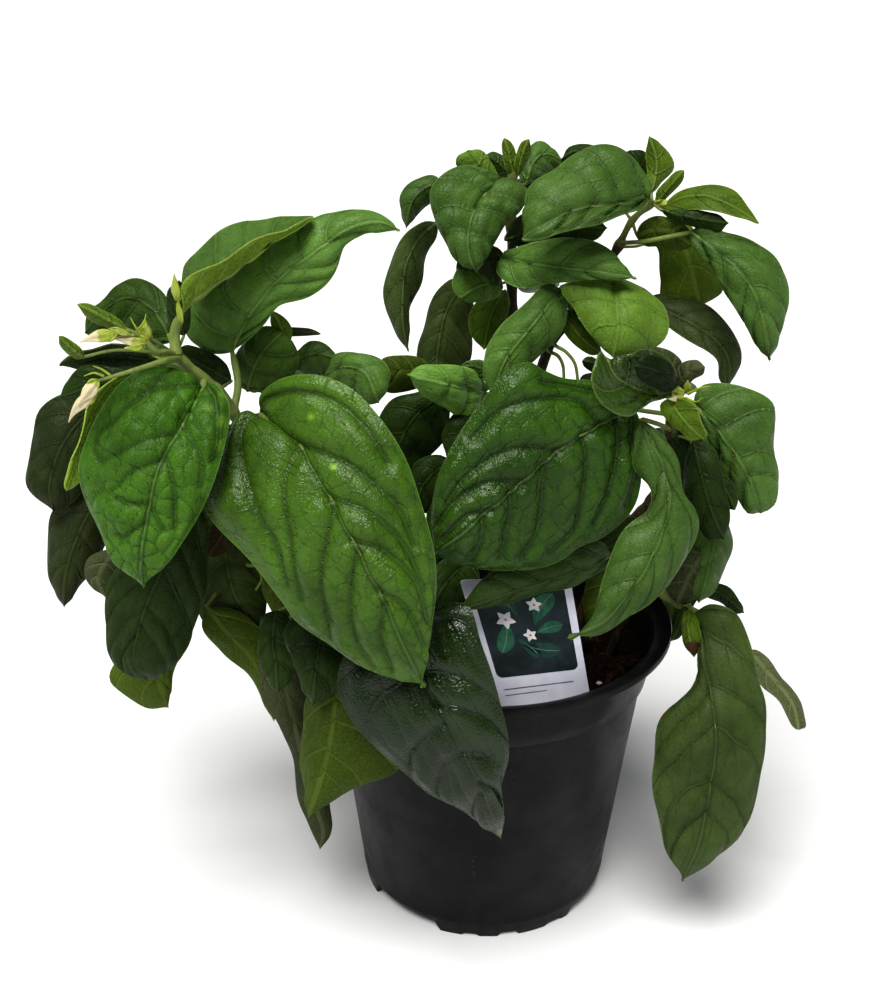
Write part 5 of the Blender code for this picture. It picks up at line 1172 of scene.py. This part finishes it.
# Leaves on the far side of the crown, which the front view doesn't show.
# name, vine, place on it, heading in degrees (90 is straight back), pitch at
# the base in degrees, stalk, length, width, droop in degrees, kind
Rear = namedtuple("Rear", "name vine at heading pitch stalk length width droop kind")
REAR = [
    Rear("leaf_far_a", "vine_left_low", 2.13, 105, -7, 21, 81, 45, 105, "mid"),
    Rear("leaf_far_b", "vine_right", 1.45, 97, -9, 12, 74, 45, 94, "dark"),
    Rear("leaf_far_c", "vine_left_low", 1.22, 109, -13, 13, 80, 36, 104, "dark"),
    Rear("leaf_far_d", "vine_left_low", 3.51, 112, -7, 19, 75, 41, 111, "mid"),
    Rear("leaf_far_e", "vine_middle", 3.47, 98, -10, 14, 68, 45, 78, "mid"),
    Rear("leaf_far_f", "vine_right", 3.01, 69, 4, 9, 78, 42, 110, "mid"),
    Rear("leaf_far_g", "vine_top", 1.96, 91, -14, 23, 74, 45, 94, "mid"),
    Rear("leaf_far_h", "vine_top_right", 4.76, 73, -8, 10, 71, 45, 79, "bright"),
    Rear("leaf_far_i", "vine_low_right", 1.76, 75, -7, 19, 70, 33, 104, "mid"),
    Rear("leaf_far_j", "vine_middle", 1.16, 106, -14, 9, 79, 41, 95, "dark"),
    Rear("leaf_far_k", "vine_left_low", 2.83, 116, 49, 22, 67, 45, 50, "mid"),
    Rear("leaf_far_l", "vine_top", 2.19, 64, 0, 14, 73, 43, 89, "dark"),
    Rear("leaf_far_m", "vine_right", 1.75, 44, -14, 22, 67, 35, 94, "mid"),
    Rear("leaf_far_n", "vine_left_low", 3.36, 60, 9, 22, 80, 36, 96, "dark"),
    Rear("leaf_far_o", "vine_top", 4.87, 62, 6, 13, 75, 40, 88, "mid"),
    Rear("leaf_far_p", "vine_right", 4.29, 93, 1, 22, 74, 45, 55, "mid"),
]


def rear_leaf(r):
    """A leaf given by where it heads instead of by its outline in the front view."""
    a = math.radians(r.heading)
    out = np.array([math.cos(a), math.sin(a), 0])
    side = np.array([-math.sin(a), math.cos(a), 0])
    up = np.array([0, 0, 1.0])
    start = vine_point(r.vine, r.at)
    p0 = math.radians(r.pitch)
    knee = start + (out * math.cos(p0 + 0.4) + up * math.sin(p0 + 0.4)) * r.stalk * 0.5
    base = start + (out * math.cos(p0) + up * math.sin(p0)) * r.stalk
    step = 1.35
    rows = int(max(r.length / step, 18) * COARSE) + 2
    cols = 2 * int(max(r.width / step / 2, 6) * COARSE)
    t = np.linspace(0, 1, rows + 1)
    s = np.linspace(-1, 1, cols + 1)
    pitch = p0 - math.radians(r.droop) * t ** 1.2
    d = np.cos(pitch)[:, None] * out + np.sin(pitch)[:, None] * up
    rib = base + np.concatenate([[np.zeros(3)], np.cumsum((d[1:] + d[:-1]) / 2, axis=0)]) * r.length / rows
    normal = -np.sin(pitch)[:, None] * out + np.cos(pitch)[:, None] * up
    half = r.width / 2 * np.sin(math.pi * t ** 0.66) ** 0.85 * (1 - 0.18 * t)
    half = np.where(t > 0.9, half * (1 - (t - 0.9) * 2.5), half)
    q = np.abs(s)
    P = (rib[:, None, :] + side[None, None, :] * (half[:, None] * s[None, :])[..., None]
         - normal[:, None, :] * (r.width * 0.16 * np.sin(math.pi * np.clip(t, 0, 1)) ** 0.6)[:, None, None] * (q ** 1.6)[None, :, None])
    leaf = Leaf(r.name, r.vine, r.at, [], [], [], [], (0, 0), r.kind)
    return leaf_piece(leaf, P, None, t, s, np.array([start, knee]), np.array([0, 0, 2000.0]))


# ------------------------------------------------------------------ the pot
def body_r(z):
    return FOOT_R + (NECK_R - FOOT_R) * z / (POT_H - BAND_H)


def foot_lift(a):
    """Height of the drainage arches in the foot, by angle in radians."""
    deg = np.degrees(a) % 360
    lift = np.zeros_like(deg)
    for centre, half, high in ((-133, 20, 6.1), (-25, 22, 6.1), (101, 22, 6.1),
                               (-98, 3.4, 1.6), (-80, 4.6, 2.7), (-57, 4.0, 1.8),
                               (20, 4, 2.4), (42, 4, 2.4), (64, 3.4, 1.8),
                               (140, 4, 2.4), (162, 4, 2.4), (184, 4, 2.4)):
        d = np.abs((deg - centre + 180) % 360 - 180) / half
        lift = np.maximum(lift, np.where(d < 1, high * np.minimum(1.0, 1.9 * np.sqrt(np.maximum(0, 1 - d * d))), 0))
    return lift


def turned_shell(profile, sides, foot=None, box=(0.01, 0.99, 0.01, 0.99)):
    """Closed turned shape; profile runs (r, z) and starts and ends on the axis."""
    rows, co = [], []
    th = 2 * math.pi * np.arange(sides) / sides
    for r, z in profile:
        if r == 0:
            rows.append([len(co)])
            co.append((0, 0, z))
            continue
        lift = foot(th) if foot is not None and z < 0.7 and r > PAD_R + 4 else np.zeros(sides)
        rows.append(list(range(len(co), len(co) + sides)))
        co.extend((r * math.cos(a), r * math.sin(a), z + l) for a, l in zip(th, lift))
    run = [0.0]
    for (r0, z0), (r1, z1) in zip(profile, profile[1:]):
        run.append(run[-1] + math.hypot(r1 - r0, z1 - z0))
    u0, u1, v0, v1 = box
    faces, uv = [], []
    for i, (a, b) in enumerate(zip(rows, rows[1:])):
        va, vb = v0 + (v1 - v0) * run[i] / run[-1], v0 + (v1 - v0) * run[i + 1] / run[-1]
        for k in range(sides):
            j = (k + 1) % sides
            ua, ub = u0 + (u1 - u0) * k / sides, u0 + (u1 - u0) * (k + 1) / sides
            if len(a) == 1:
                faces.append((a[0], b[j], b[k]))
                uv.append([((ua + ub) / 2, va), (ub, vb), (ua, vb)])
            elif len(b) == 1:
                faces.append((a[k], a[j], b[0]))
                uv.append([(ua, va), (ub, va), ((ua + ub) / 2, vb)])
            else:
                faces.append((a[k], a[j], b[j], b[k]))
                uv.append([(ua, va), (ub, va), (ub, vb), (ua, vb)])
    return co, faces, uv


def pot_piece():
    top = POT_H - BAND_H
    wall = [(body_r(z), z) for z in np.linspace(FLOOR_Z + 2, top * 0.97, 9)]
    collar = [(NECK_R + 1.9, top + 1.0), (NECK_R + 2.9, top + 5.5), (NECK_R + 4.0, top + 11.0), (NECK_R + 5.2, POT_H - 6.4),
              (NECK_R + 5.7, POT_H - 5.0), (NECK_R + 8.2, POT_H - 3.9)]
    profile = ([(0, 0.0), (PAD_R - 0.5, 0.0), (PAD_R, 0.3), (PAD_R + 2.5, FLOOR_Z - 0.4), (PAD_R + 3.2, FLOOR_Z), (FOOT_R - 4.6, FLOOR_Z),
                (FOOT_R - 4.0, FLOOR_Z - 0.2), (FOOT_R - WALL, 0.15), (FOOT_R - WALL + 0.2, 0.0), (FOOT_R - 0.25, 0.0), (FOOT_R, 0.3),
                (body_r(FLOOR_Z) - 0.1, FLOOR_Z + 0.2), (body_r(FLOOR_Z) + 0.35, FLOOR_Z + 1.2)]
               + wall + [(NECK_R, top), (NECK_R + 1.3, top + 0.35)] + collar
               + [(LIP_R - 0.8, POT_H - 3.5), (LIP_R - 0.15, POT_H - 3.0), (LIP_R, POT_H - 2.2), (LIP_R, POT_H - 0.8), (LIP_R - 0.3, POT_H - 0.2),
                  (LIP_R - 0.9, POT_H), (LIP_R - 2.6, POT_H - 0.1), (LIP_R - 4.4, POT_H - 0.5), (NECK_R + 4.6, POT_H - 2.2), (NECK_R + 3.4, POT_H - 5.0),
                  (NECK_R + 1.2, top + 8), (NECK_R - 0.2, top + 0.6), (NECK_R - WALL, top - 0.6),
                  (body_r(FLOOR_Z + 4) - WALL, FLOOR_Z + 4), (FOOT_R - 4.0, FLOOR_Z + 1.6), (PAD_R + 1.5, FLOOR_Z + 1.6), (PAD_R - 1.0, 1.6), (0, 1.6)])
    co, faces, uv = turned_shell(profile, 216, foot_lift)
    co = np.array(co)
    rng = np.random.default_rng(7)
    r = np.hypot(co[:, 0], co[:, 1])
    keep = r > PAD_R + 5
    push = 0.12 * wobble(co, 70, rng, 2)
    co[keep, :2] *= (1 + push[keep] / np.maximum(r[keep], 1))[:, None]
    p = Piece()
    p.shell(co, faces, 0, uv)
    return p.make("pot_shell", [pot_material()], ["nursery_pot"], sharp=35, used=())


def compost_piece():
    """Crumbly compost with bark chips and a few grains of perlite on top."""
    rng = np.random.default_rng(21)
    gap = 0.5
    top = POT_H - BAND_H
    rim = NECK_R + 0.4 + (SOIL_Z - top) * 0.21 - gap - 0.4
    rings, sides = 58, 150
    profile = [(0, 1.6 + gap), (PAD_R - 1.9, 1.6 + gap), (PAD_R + 0.9, FLOOR_Z + 1.6 + gap), (FOOT_R - 4.6, FLOOR_Z + 1.6 + gap),
               (body_r(FLOOR_Z + 5) - WALL - gap, FLOOR_Z + 5), (body_r(top - 0.8) - WALL - gap, top - 0.8), (rim - 1.2, top + 0.8)]
    first = len(profile)
    profile += [((rim - 0.5) * (1 - k / rings), SOIL_Z - 1.0) for k in range(rings)] + [(0, SOIL_Z)]
    co, faces, uv = turned_shell(profile, sides, None, (0.01, 0.99, 0.01, 0.30))
    co = np.array(co)
    start = 1 + sides * (first - 1)
    p_top = co[start:]
    r = np.hypot(p_top[:, 0], p_top[:, 1])
    lump = 0.9 * wobble(p_top, 16, rng, 2) + 0.7 * wobble(p_top, 6.5, rng, 2) + 0.35 * wobble(p_top, 2.8, rng, 2)
    p_top[:, 2] = SOIL_Z - 0.2 + lump * smooth(rim - r, -0.5, 5) - 1.0 * smooth(r, rim - 8, rim)
    co[start:] = p_top
    soil_uv = []
    for f in faces:
        pts = co[list(f)]
        if min(f) >= start:
            soil_uv.append([(0.5 + x / 160 * 0.96, 0.655 + y / 160 * 0.66) for x, y, _ in pts])
        else:
            soil_uv.append(None)
    uv = [a if b is None else b for a, b in zip(uv, soil_uv)]
    p = Piece()
    p.shell(co, faces, 0, uv)
    count = 0
    for k in range(520):
        a, rr = rng.uniform(0, 2 * math.pi), (rim - 3) * math.sqrt(rng.uniform(0.02, 1))
        white = k % 22 == 0
        big = rng.uniform(0.9, 2.0) if white else rng.choice([1.3, 2.0, 3.0, 4.2], p=[0.4, 0.3, 0.2, 0.1])
        c = np.array([rr * math.cos(a), rr * math.sin(a), SOIL_Z + rng.uniform(-0.2, 0.7)])
        ax = unit(rng.normal(size=3) * np.array([1, 1, 0.35]))
        x = unit(np.cross(ax, rng.normal(size=3)))
        y = np.cross(ax, x)
        ratio = (0.8, 0.7) if white else (rng.uniform(0.3, 0.6), rng.uniform(0.15, 0.4))
        rows = []
        n = 6
        th = 2 * math.pi * np.arange(n) / n
        for f, wdt in ((-1, 0.45), (-0.45, 0.95), (0.4, 1.0), (1, 0.5)):
            jig = 1 + rng.uniform(-0.22, 0.22, n)
            rows.append(c + ax * f * big + (np.cos(th) * jig * wdt * big * ratio[0])[:, None] * x + (np.sin(th) * jig * wdt * big * ratio[1])[:, None] * y)
        chip = np.concatenate(rows)
        fs = [(i * n + q, i * n + (q + 1) % n, (i + 1) * n + (q + 1) % n, (i + 1) * n + q) for i in range(3) for q in range(n)]
        fs += [tuple(reversed(range(n))), tuple(3 * n + q for q in range(n))]
        gx, gy = (count % 40) / 40, (count // 40) / 40
        box = [(0.01 + 0.98 * gx, 0.315 + 0 * gy)] * n
        p.shell(chip, fs, 2 if white else 1, [[(0.01 + 0.975 * gx + 0.02 * (q % 3) / 3, 0.31 + 0.004 * (q % 2)) for q in range(len(f))] for f in fs])
        count += 1
    # peat and bark: darker than the compost's own colour, as painted shade for the shade the leaves cast on it
    mats = [grainy("compost_peat", (0.0050, 0.0028, 0.0019), (0.022, 0.0115, 0.0068), 420, 0.94, 0.04, 0.5),
            grainy("compost_bark", (0.015, 0.0066, 0.0038), (0.055, 0.024, 0.0125), 520, 0.85, 0.06, 0.25),
            grainy("compost_perlite", (0.40, 0.36, 0.32), (0.68, 0.66, 0.62), 900, 0.9, 0.1, 0.2)]
    return p.make("compost_fill", mats, ["compost"], sharp=40, mapped=False, used=())


# ---------------------------------------------------------------- the label
def label_piece():
    """A card on a stake.  Its picture is a made-up leaf and blossom design."""
    tl, tr = spot((476, 583, -61)), spot((585, 570, -49))
    ll, lr = spot((502, 703, -66)), spot((590, 689, -55))
    x = unit(lr - ll)
    down = unit((ll + lr) / 2 - (tl + tr) / 2)
    n = unit(np.cross(x, down))
    if n @ unit(EYE - tl) < 0:
        n = -n
    mid = (ll + lr) / 2
    foot = mid + down * ((mid[2] - SOIL_Z + 1.5) / -down[2])
    half_low = np.linalg.norm(lr - ll) / 2
    top_mid = (tl + tr) / 2
    high = np.linalg.norm(foot - top_mid)
    half_top = np.linalg.norm(tr - tl) / 2
    slide = (top_mid - foot) @ x        # the top edge sits this far along x from the foot
    tilt = (tr - tl) @ down / 2         # and its two ends differ by this much in height
    card_len = np.linalg.norm(mid - top_mid)

    def at(a, b, lift=0.0):
        """a: -1 to 1 across, b: 0 at the top edge to 1 at the foot of the card."""
        half = half_top + (half_low - half_top) * b
        return foot - down * (1 - b) * high + x * (slide * (1 - b) + a * half) + down * tilt * a * (1 - b) + n * lift

    def plate(piece, outline, low, up, mat, box):
        k = len(outline)
        co = [at(a, b, low) for a, b in outline] + [at(a, b, up) for a, b in outline]
        faces = [tuple(range(k, 2 * k)), tuple(reversed(range(k)))] + [(i, (i + 1) % k, k + (i + 1) % k, k + i) for i in range(k)]
        area = sum(outline[i][0] * outline[(i + 1) % k][1] - outline[(i + 1) % k][0] * outline[i][1] for i in range(k))
        u0, u1, v0, v1 = box
        as_uv = [(u0 + (u1 - u0) * (a + 1) / 2, v1 - (v1 - v0) * b) for a, b in outline]
        uv = [as_uv, [(u, v * 0.5) for u, v in reversed(as_uv)]] + [[as_uv[i], as_uv[(i + 1) % k], as_uv[(i + 1) % k], as_uv[i]] for i in range(k)]
        if area > 0:
            faces = [tuple(reversed(f)) for f in faces]
            uv = [list(reversed(f)) for f in uv]
        piece.shell(co, faces, mat, uv)

    def rounded(a0, a1, b0, b1, r, steps=8):
        """A rectangle with round corners; r is in millimetres on the card."""
        ra, rb = r / ((half_top + half_low) / 2), r / high
        pts = []
        for ca, cb, q in ((a1 - ra, b1 - rb, 0), (a0 + ra, b1 - rb, 1), (a0 + ra, b0 + rb, 2), (a1 - ra, b0 + rb, 3)):
            for k in range(steps + 1):
                th = (q + k / steps) * math.pi / 2
                pts.append((ca + ra * math.cos(th), cb + rb * math.sin(th)))
        return pts

    p = Piece()
    wide = (half_top + half_low) / 2
    card = rounded(-1, 1, 0.0, 1.0, 1.6)
    plate(p, card, -0.35, 0.35, 0, (0.02, 0.48, 0.02, 0.98))
    b_end = card_len / high
    plate(p, rounded(-0.85, 0.85, 0.06 * b_end, 0.80 * b_end, 2.6), 0.30, 0.42, 1, (0.52, 0.98, 0.02, 0.98))

    def leaf_shape(a, b, length, width, turn, bend=0.0):
        pts = []
        for k in range(15):
            f = k / 14
            pts.append((f * length, width / 2 * math.sin(math.pi * f ** 0.7) + bend * math.sin(math.pi * f)))
        for k in range(13, 0, -1):
            f = k / 14
            pts.append((f * length, -width / 2 * math.sin(math.pi * f ** 0.7) + bend * math.sin(math.pi * f)))
        c, s_ = math.cos(turn), math.sin(turn)
        return [(a + (px * c - py * s_) / wide, b + (px * s_ + py * c) / high) for px, py in pts]

    box = (0.52, 0.98, 0.02, 0.98)
    for a, b, length, width, turn, bend, mat in (
            (0.62, 0.13, 17, 7.5, 2.2, 1.2, 2), (0.55, 0.62, 16, 7, 3.4, -1, 3), (-0.62, 0.60, 15, 7, -1.2, 1, 2),
            (-0.50, 0.12, 13, 6, 0.9, -1, 3), (0.12, 0.66, 12, 5.5, -2.3, 0.8, 3), (0.70, 0.40, 12, 5.5, 2.9, 0.5, 2)):
        plate(p, leaf_shape(a, b * b_end, length, width, turn, bend), 0.40, 0.50 + 0.02 * (mat == 2), mat, box)
        plate(p, leaf_shape(a, b * b_end, length * 0.94, 0.35, turn, bend), 0.46, 0.57, 6, box)
    for a, b, size, turn in ((-0.38, 0.33, 4.2, 0.3), (0.22, 0.22, 3.4, 1.1), (0.02, 0.47, 3.0, 2.0), (-0.66, 0.17, 2.4, 0.7)):
        for k in range(5):
            plate(p, leaf_shape(a, b * b_end, size, size * 0.62, turn + k * 2 * math.pi / 5), 0.48 + 0.01 * k, 0.60 + 0.01 * k, 4, box)
        ring = [(a + 0.55 * math.cos(t) / wide, b * b_end + 0.55 * math.sin(t) / high) for t in np.linspace(0, 2 * math.pi, 12, endpoint=False)]
        plate(p, ring, 0.55, 0.74, 5, box)
    # two plain rules under the picture
    plate(p, rounded(-0.80, 0.70, 0.895 * b_end, 0.905 * b_end, 0.12, 2), 0.30, 0.40, 6, box)
    plate(p, rounded(-0.80, 0.10, 0.945 * b_end, 0.953 * b_end, 0.10, 2), 0.30, 0.40, 6, box)
    # stake
    bend = np.array([-1, 5, 0])
    co = []
    for c, hw in ((foot + down * -0.5, 7.5), (foot + down * 1.5, 7), (foot + down * 10 + bend * 0.5, 5), (foot + down * 18 + bend, 3)):
        co += [c - x * hw + n * 0.33, c + x * hw + n * 0.33, c + x * hw - n * 0.33, c - x * hw - n * 0.33]
    faces = [(i * 4 + k, i * 4 + (k + 1) % 4, i * 4 + 4 + (k + 1) % 4, i * 4 + 4 + k) for i in range(3) for k in range(4)]
    faces += [(3, 2, 1, 0), (12, 13, 14, 15)]
    p.shell(co, faces, 0, None)

    s = Shader("label_plastic", 0.42, 0.2)
    sheen = s.noise(90, 3, 0.5)
    colour = s.mix(s.ramp(sheen, 0.3, 0.7), (0.56, 0.56, 0.66), (0.68, 0.68, 0.76))
    dirt = s.noise(300, 5, 0.7)
    colour = s.mix(s.math("MULTIPLY", s.ramp(dirt, 0.62, 0.75), 0.35), colour, (0.34, 0.33, 0.36))
    card_mat = s.finish(colour, s.ramp(dirt, 0.3, 0.7, 0.36, 0.5), s.bump(s.noise(500, 2, 0.5), 0.03, 0.6))

    def ink(name, a_, b_, scale=180):
        s = Shader(name, 0.38, 0.14)
        n_ = s.noise(scale, 4, 0.6, 0.4)
        colour = s.mix(s.ramp(n_, 0.32, 0.68), a_, b_)
        return s.finish(colour, s.ramp(n_, 0.3, 0.7, 0.32, 0.45), s.bump(s.noise(700, 2, 0.5), 0.02, 0.6))

    mats = [card_mat, ink("label_panel", (0.006, 0.012, 0.013), (0.022, 0.034, 0.042), 90), ink("label_leaf_a", (0.010, 0.075, 0.045), (0.030, 0.140, 0.075)),
            ink("label_leaf_b", (0.008, 0.040, 0.032), (0.018, 0.075, 0.050)), ink("label_blossom", (0.55, 0.56, 0.60), (0.80, 0.79, 0.76)),
            ink("label_centre", (0.45, 0.10, 0.10), (0.60, 0.25, 0.16)), ink("label_line", (0.10, 0.12, 0.14), (0.20, 0.22, 0.25))]
    return p.make("label_card", mats, ["plant_label"], sharp=30, mapped=False, used=())


# -------------------------------------------------------------- the flowers
CALYX = None


def calyx(p, base, tip, r, green=0.35, curl=0.0, ribs=5, hook=0.0):
    """An inflated angular calyx that closes to a point."""
    base, tip = np.asarray(base, float), np.asarray(tip, float)
    d = tip - base
    length = np.linalg.norm(d)
    bend = unit(np.cross(d, [0.3, 1.0, 0.2])) * curl
    steps = 26
    f = np.linspace(0, 1, steps)
    path = base + d * f[:, None] + bend * (np.sin(math.pi * f) * 0.5 + hook * f ** 4)[:, None]
    keys = [(0, 0.30), (0.06, 0.62), (0.16, 0.88), (0.3, 1.0), (0.45, 0.94), (0.6, 0.70), (0.75, 0.44), (0.9, 0.20), (1, 0.05)]
    radii = r * np.interp(f, [k[0] for k in keys], [k[1] for k in keys])
    lobes = lambda th, i: 1 + 0.20 * math.sin(math.pi * min(f[i] * 1.1, 1)) * np.cos(ribs * th) + 0.05 * np.cos(2 * th + 1)
    sides = 30
    co, faces, uv = tube_shell(path, radii, sides, lobes)
    th = 2 * math.pi * np.arange(sides) / sides
    age = np.concatenate([np.clip(0.55 + (green - ff) * 4.5 - 0.16 * np.cos(ribs * th) * (1 - ff), 0, 1.2) for ff in f])
    p.shell(co, faces, 0, uv, age=age)
    # pointed sepals that clasp its base
    for k in range(3):
        a = 2 * math.pi * k / 3 + r
        xx = unit(np.cross(d, [0.1, 0.2, 1.0]))
        yy = unit(np.cross(d, xx))
        out = math.cos(a) * xx + math.sin(a) * yy
        sp = base - unit(d) * 0.6 + np.outer(np.linspace(0, 1, 9), unit(d) * length * 0.34) + np.outer(np.sin(np.linspace(0, 1, 9) * 2.2), out * r * 0.95)
        co, faces, uv = tube_shell(sp, [r * w for w in (0.14, 0.22, 0.26, 0.26, 0.24, 0.20, 0.15, 0.10, 0.03)], 8)
        p.shell(co, faces, 0, uv, age=0.95)


def thread(p, pts, r0, r1, mat=1, age=0.0):
    path = curve_at(pts, np.linspace(0, len(pts) - 1, 8 * (len(pts) - 1) + 1))
    co, faces, uv = tube_shell(path, np.linspace(r0, r1, len(path)), 10)
    p.shell(co, faces, mat, uv, age=age)


def flower_pieces():
    mats = [calyx_material(), STALK]
    p = Piece()
    V = [spot(q) for q in ((157, 352, -72), (146, 341, -73))]
    thread(p, [vine_point("vine_left", 6.0), spot((166, 352, -68)), V[0], V[1]], 1.3, 1.0)
    calyx(p, V[1], spot((111, 337, -77)), 2.1, 0.42, 0.8, hook=0.8)
    thread(p, [V[1], spot((130, 331, -76)), spot((114, 335, -78))], 0.65, 0.5)
    calyx(p, spot((115, 335, -78)), spot((79, 341, -80)), 2.2, 0.45, -0.8, hook=-0.8)
    calyx(p, spot((147, 341, -70)), spot((145, 318, -70)), 2.3, 1.0, 0.8)
    calyx(p, spot((144, 345, -74)), spot((124, 348, -77)), 1.6, 0.9, 0.6)
    calyx(p, spot((130, 334, -76)), spot((110, 329, -78)), 1.1, 0.9, 0.4)
    for pts in ([(141, 336, -73), (135, 326, -74), (130, 317, -74)], [(128, 334, -76), (117, 328, -77), (108, 329, -78)],
                [(138, 330, -72), (144, 322, -73), (146, 314, -73)]):
        thread(p, [spot(q) for q in pts], 0.6, 0.15, 0, 1.0)
    p.make("flowers_left_heads", mats, ["flowers_left"], used=("age",))

    p = Piece()
    thread(p, [vine_point("vine_left", 5.85), spot((168, 360, -72)), spot((160, 362, -76)), spot((128, 372, -82)), spot((97, 381, -82))], 1.5, 0.6)
    calyx(p, spot((97, 381, -82)), spot((75, 404, -86)), 2.3, 0.16, 1.2, hook=0.8)
    calyx(p, spot((95, 394, -83)), spot((66, 420, -84)), 2.1, 0.05, -1.3, hook=-1.0)
    thread(p, [spot(q) for q in ((98, 380, -82), (98, 387, -83), (95, 395, -83))], 0.6, 0.5)
    for pts in ([(104, 376, -82), (94, 373, -83), (84, 376, -83)], [(110, 375, -82), (101, 369, -83), (93, 366, -84)]):
        thread(p, [spot(q) for q in pts], 0.55, 0.15, 0, 1.0)
    p.make("flowers_left_low_heads", mats, ["flowers_left_low"], used=("age",))

    p = Piece()
    thread(p, [vine_point("vine_right", 5.0), spot((681, 393, -38)), spot((683, 391, -42)), spot((687, 392, -50))], 0.9, 0.7)
    calyx(p, spot((684, 393, -52)), spot((668, 387, -58)), 1.6, 0.8, 0.4)
    calyx(p, spot((688, 391, -52)), spot((688, 380, -56)), 1.3, 0.9, 0.5)
    calyx(p, spot((684, 398, -56)), spot((668, 399, -62)), 1.3, 0.5, 0.4)
    for pts in ([(688, 394, -54), (700, 388, -58), (710, 386, -60)], [(680, 392, -54), (672, 382, -58), (668, 374, -60)],
                [(686, 398, -56), (696, 402, -60), (702, 398, -62)]):
        thread(p, [spot(q) for q in pts], 0.6, 0.15, 0, 1.0)
    p.make("buds_right_heads", mats, ["buds_right"], used=("age",))

    # small bud stalks and threads in the crown
    p = Piece()
    for vine, at, pts in (
            ("vine_top_right", 3.0, [(550, 352, -2), (558, 356, -4), (563, 366, -4), (564, 382, -4)]),
            ("vine_top_right", 3.2, [(556, 346, -4), (566, 352, -7), (575, 364, -8), (578, 382, -8)]),
            ("vine_left_low", 1.8, [(246, 560, -20), (256, 566, -28), (262, 578, -29), (256, 590, -28)])):
        thread(p, [vine_point(vine, at)] + [spot(q) for q in pts], 0.9, 0.6)
    p.make("loose_stalks", mats, used=("age",))
    p = Piece()
    for base, tip, r in (((656, 203, 12), (668, 196, 10), 2.0), ((662, 206, 10), (673, 202, 8), 1.8), ((182, 322, -61), (177, 296, -61), 1.1),
                         ((178, 300, -61), (174, 273, -61), 1.6)):
        calyx(p, spot(base), spot(tip), r, 1.0, 0.3)
    p.make("young_buds", mats, used=("age",))


BRACTS = [
    Leaf("bract_left_high", "vine_left", 6.0, [(150, 338, -70)],
         [(128, 330, -70), (112, 322, -70), (96, 313, -70), (77, 304, -70)],
         [(116, 318), (100, 309), (86, 304)], [(120, 331), (100, 324), (86, 315)], (2, 3), "young"),
    Leaf("bract_left_tip", "vine_left", 6.0, [(120, 350, -66)],
         [(84, 358, -66), (76, 352, -67), (68, 345, -67), (59, 336, -67)],
         [(82, 350), (73, 342), (65, 337)], [(78, 358), (68, 354), (61, 345)], (1, 2), "young"),
]


# -------------------------------------------------------------- build it all
joints = {}
for leaf in LEAVES + FILL + BRACTS:
    joints.setdefault(leaf.vine, []).append(leaf.at)
for r in REAR:
    joints.setdefault(r.vine, []).append(r.at)
pot_piece()
compost_piece()
for vine_name in VINES:
    vine_piece(vine_name, sorted(set(round(a, 2) for a in joints.get(vine_name, []))))
for leaf in LEAVES + FILL + BRACTS:
    view_leaf(leaf)
for r in REAR:
    rear_leaf(r)
label_piece()
flower_pieces()

# --------------------------------------------------------- floor and lights
floor_mesh = bpy.data.meshes.new("floor")
floor_mesh.from_pydata([(-14, -6, 0), (14, -6, 0), (14, 22, 0), (-14, 22, 0)], [], [(0, 1, 2, 3)])
s = Shader("floor_pale", 0.9, 0.1)
floor_mesh.materials.append(s.finish(s.mix(s.noise(3, 2, 0.5), (0.79, 0.79, 0.79), (0.81, 0.81, 0.81)), None))
floor = bpy.data.objects.new("floor", floor_mesh)
bpy.context.scene.collection.objects.link(floor)

world = bpy.data.worlds.new("studio")
bpy.context.scene.world = world
world.use_nodes = True
# a studio room: bright low walls and a dimmer ceiling
tree = world.node_tree
up_axis = tree.nodes.new("ShaderNodeSeparateXYZ")
tree.links.new(tree.nodes.new("ShaderNodeTexCoord").outputs["Generated"], up_axis.inputs[0])
room = tree.nodes.new("ShaderNodeMapRange")
room.interpolation_type = "SMOOTHSTEP"
for socket, value in zip(list(room.inputs)[1:5], (0.04, 0.36, 0.62, 0.17)):
    socket.default_value = value
tree.links.new(up_axis.outputs["Z"], room.inputs["Value"])
tree.nodes["Background"].inputs["Color"].default_value = (0.97, 0.98, 1.0, 1)
tree.links.new(room.outputs[0], tree.nodes["Background"].inputs["Strength"])


def sky(name, angle, power, tilt, turn, colour=(1, 1, 1)):
    """A wide soft light from straight above, leaned by tilt and turned, in degrees."""
    data = bpy.data.lights.new(name, "SUN")
    data.angle = math.radians(angle)
    data.energy = power
    data.color = colour
    ob = bpy.data.objects.new(name, data)
    bpy.context.scene.collection.objects.link(ob)
    ob.rotation_euler = (math.radians(tilt), 0, math.radians(turn))
    return ob


sky("overhead", 36, 3.55, 25, -22, (1.0, 0.99, 0.97))

scene = bpy.context.scene
scene.view_settings.view_transform = "Standard"
scene.view_settings.look = "Medium High Contrast"
scene.view_settings.exposure = 0.12
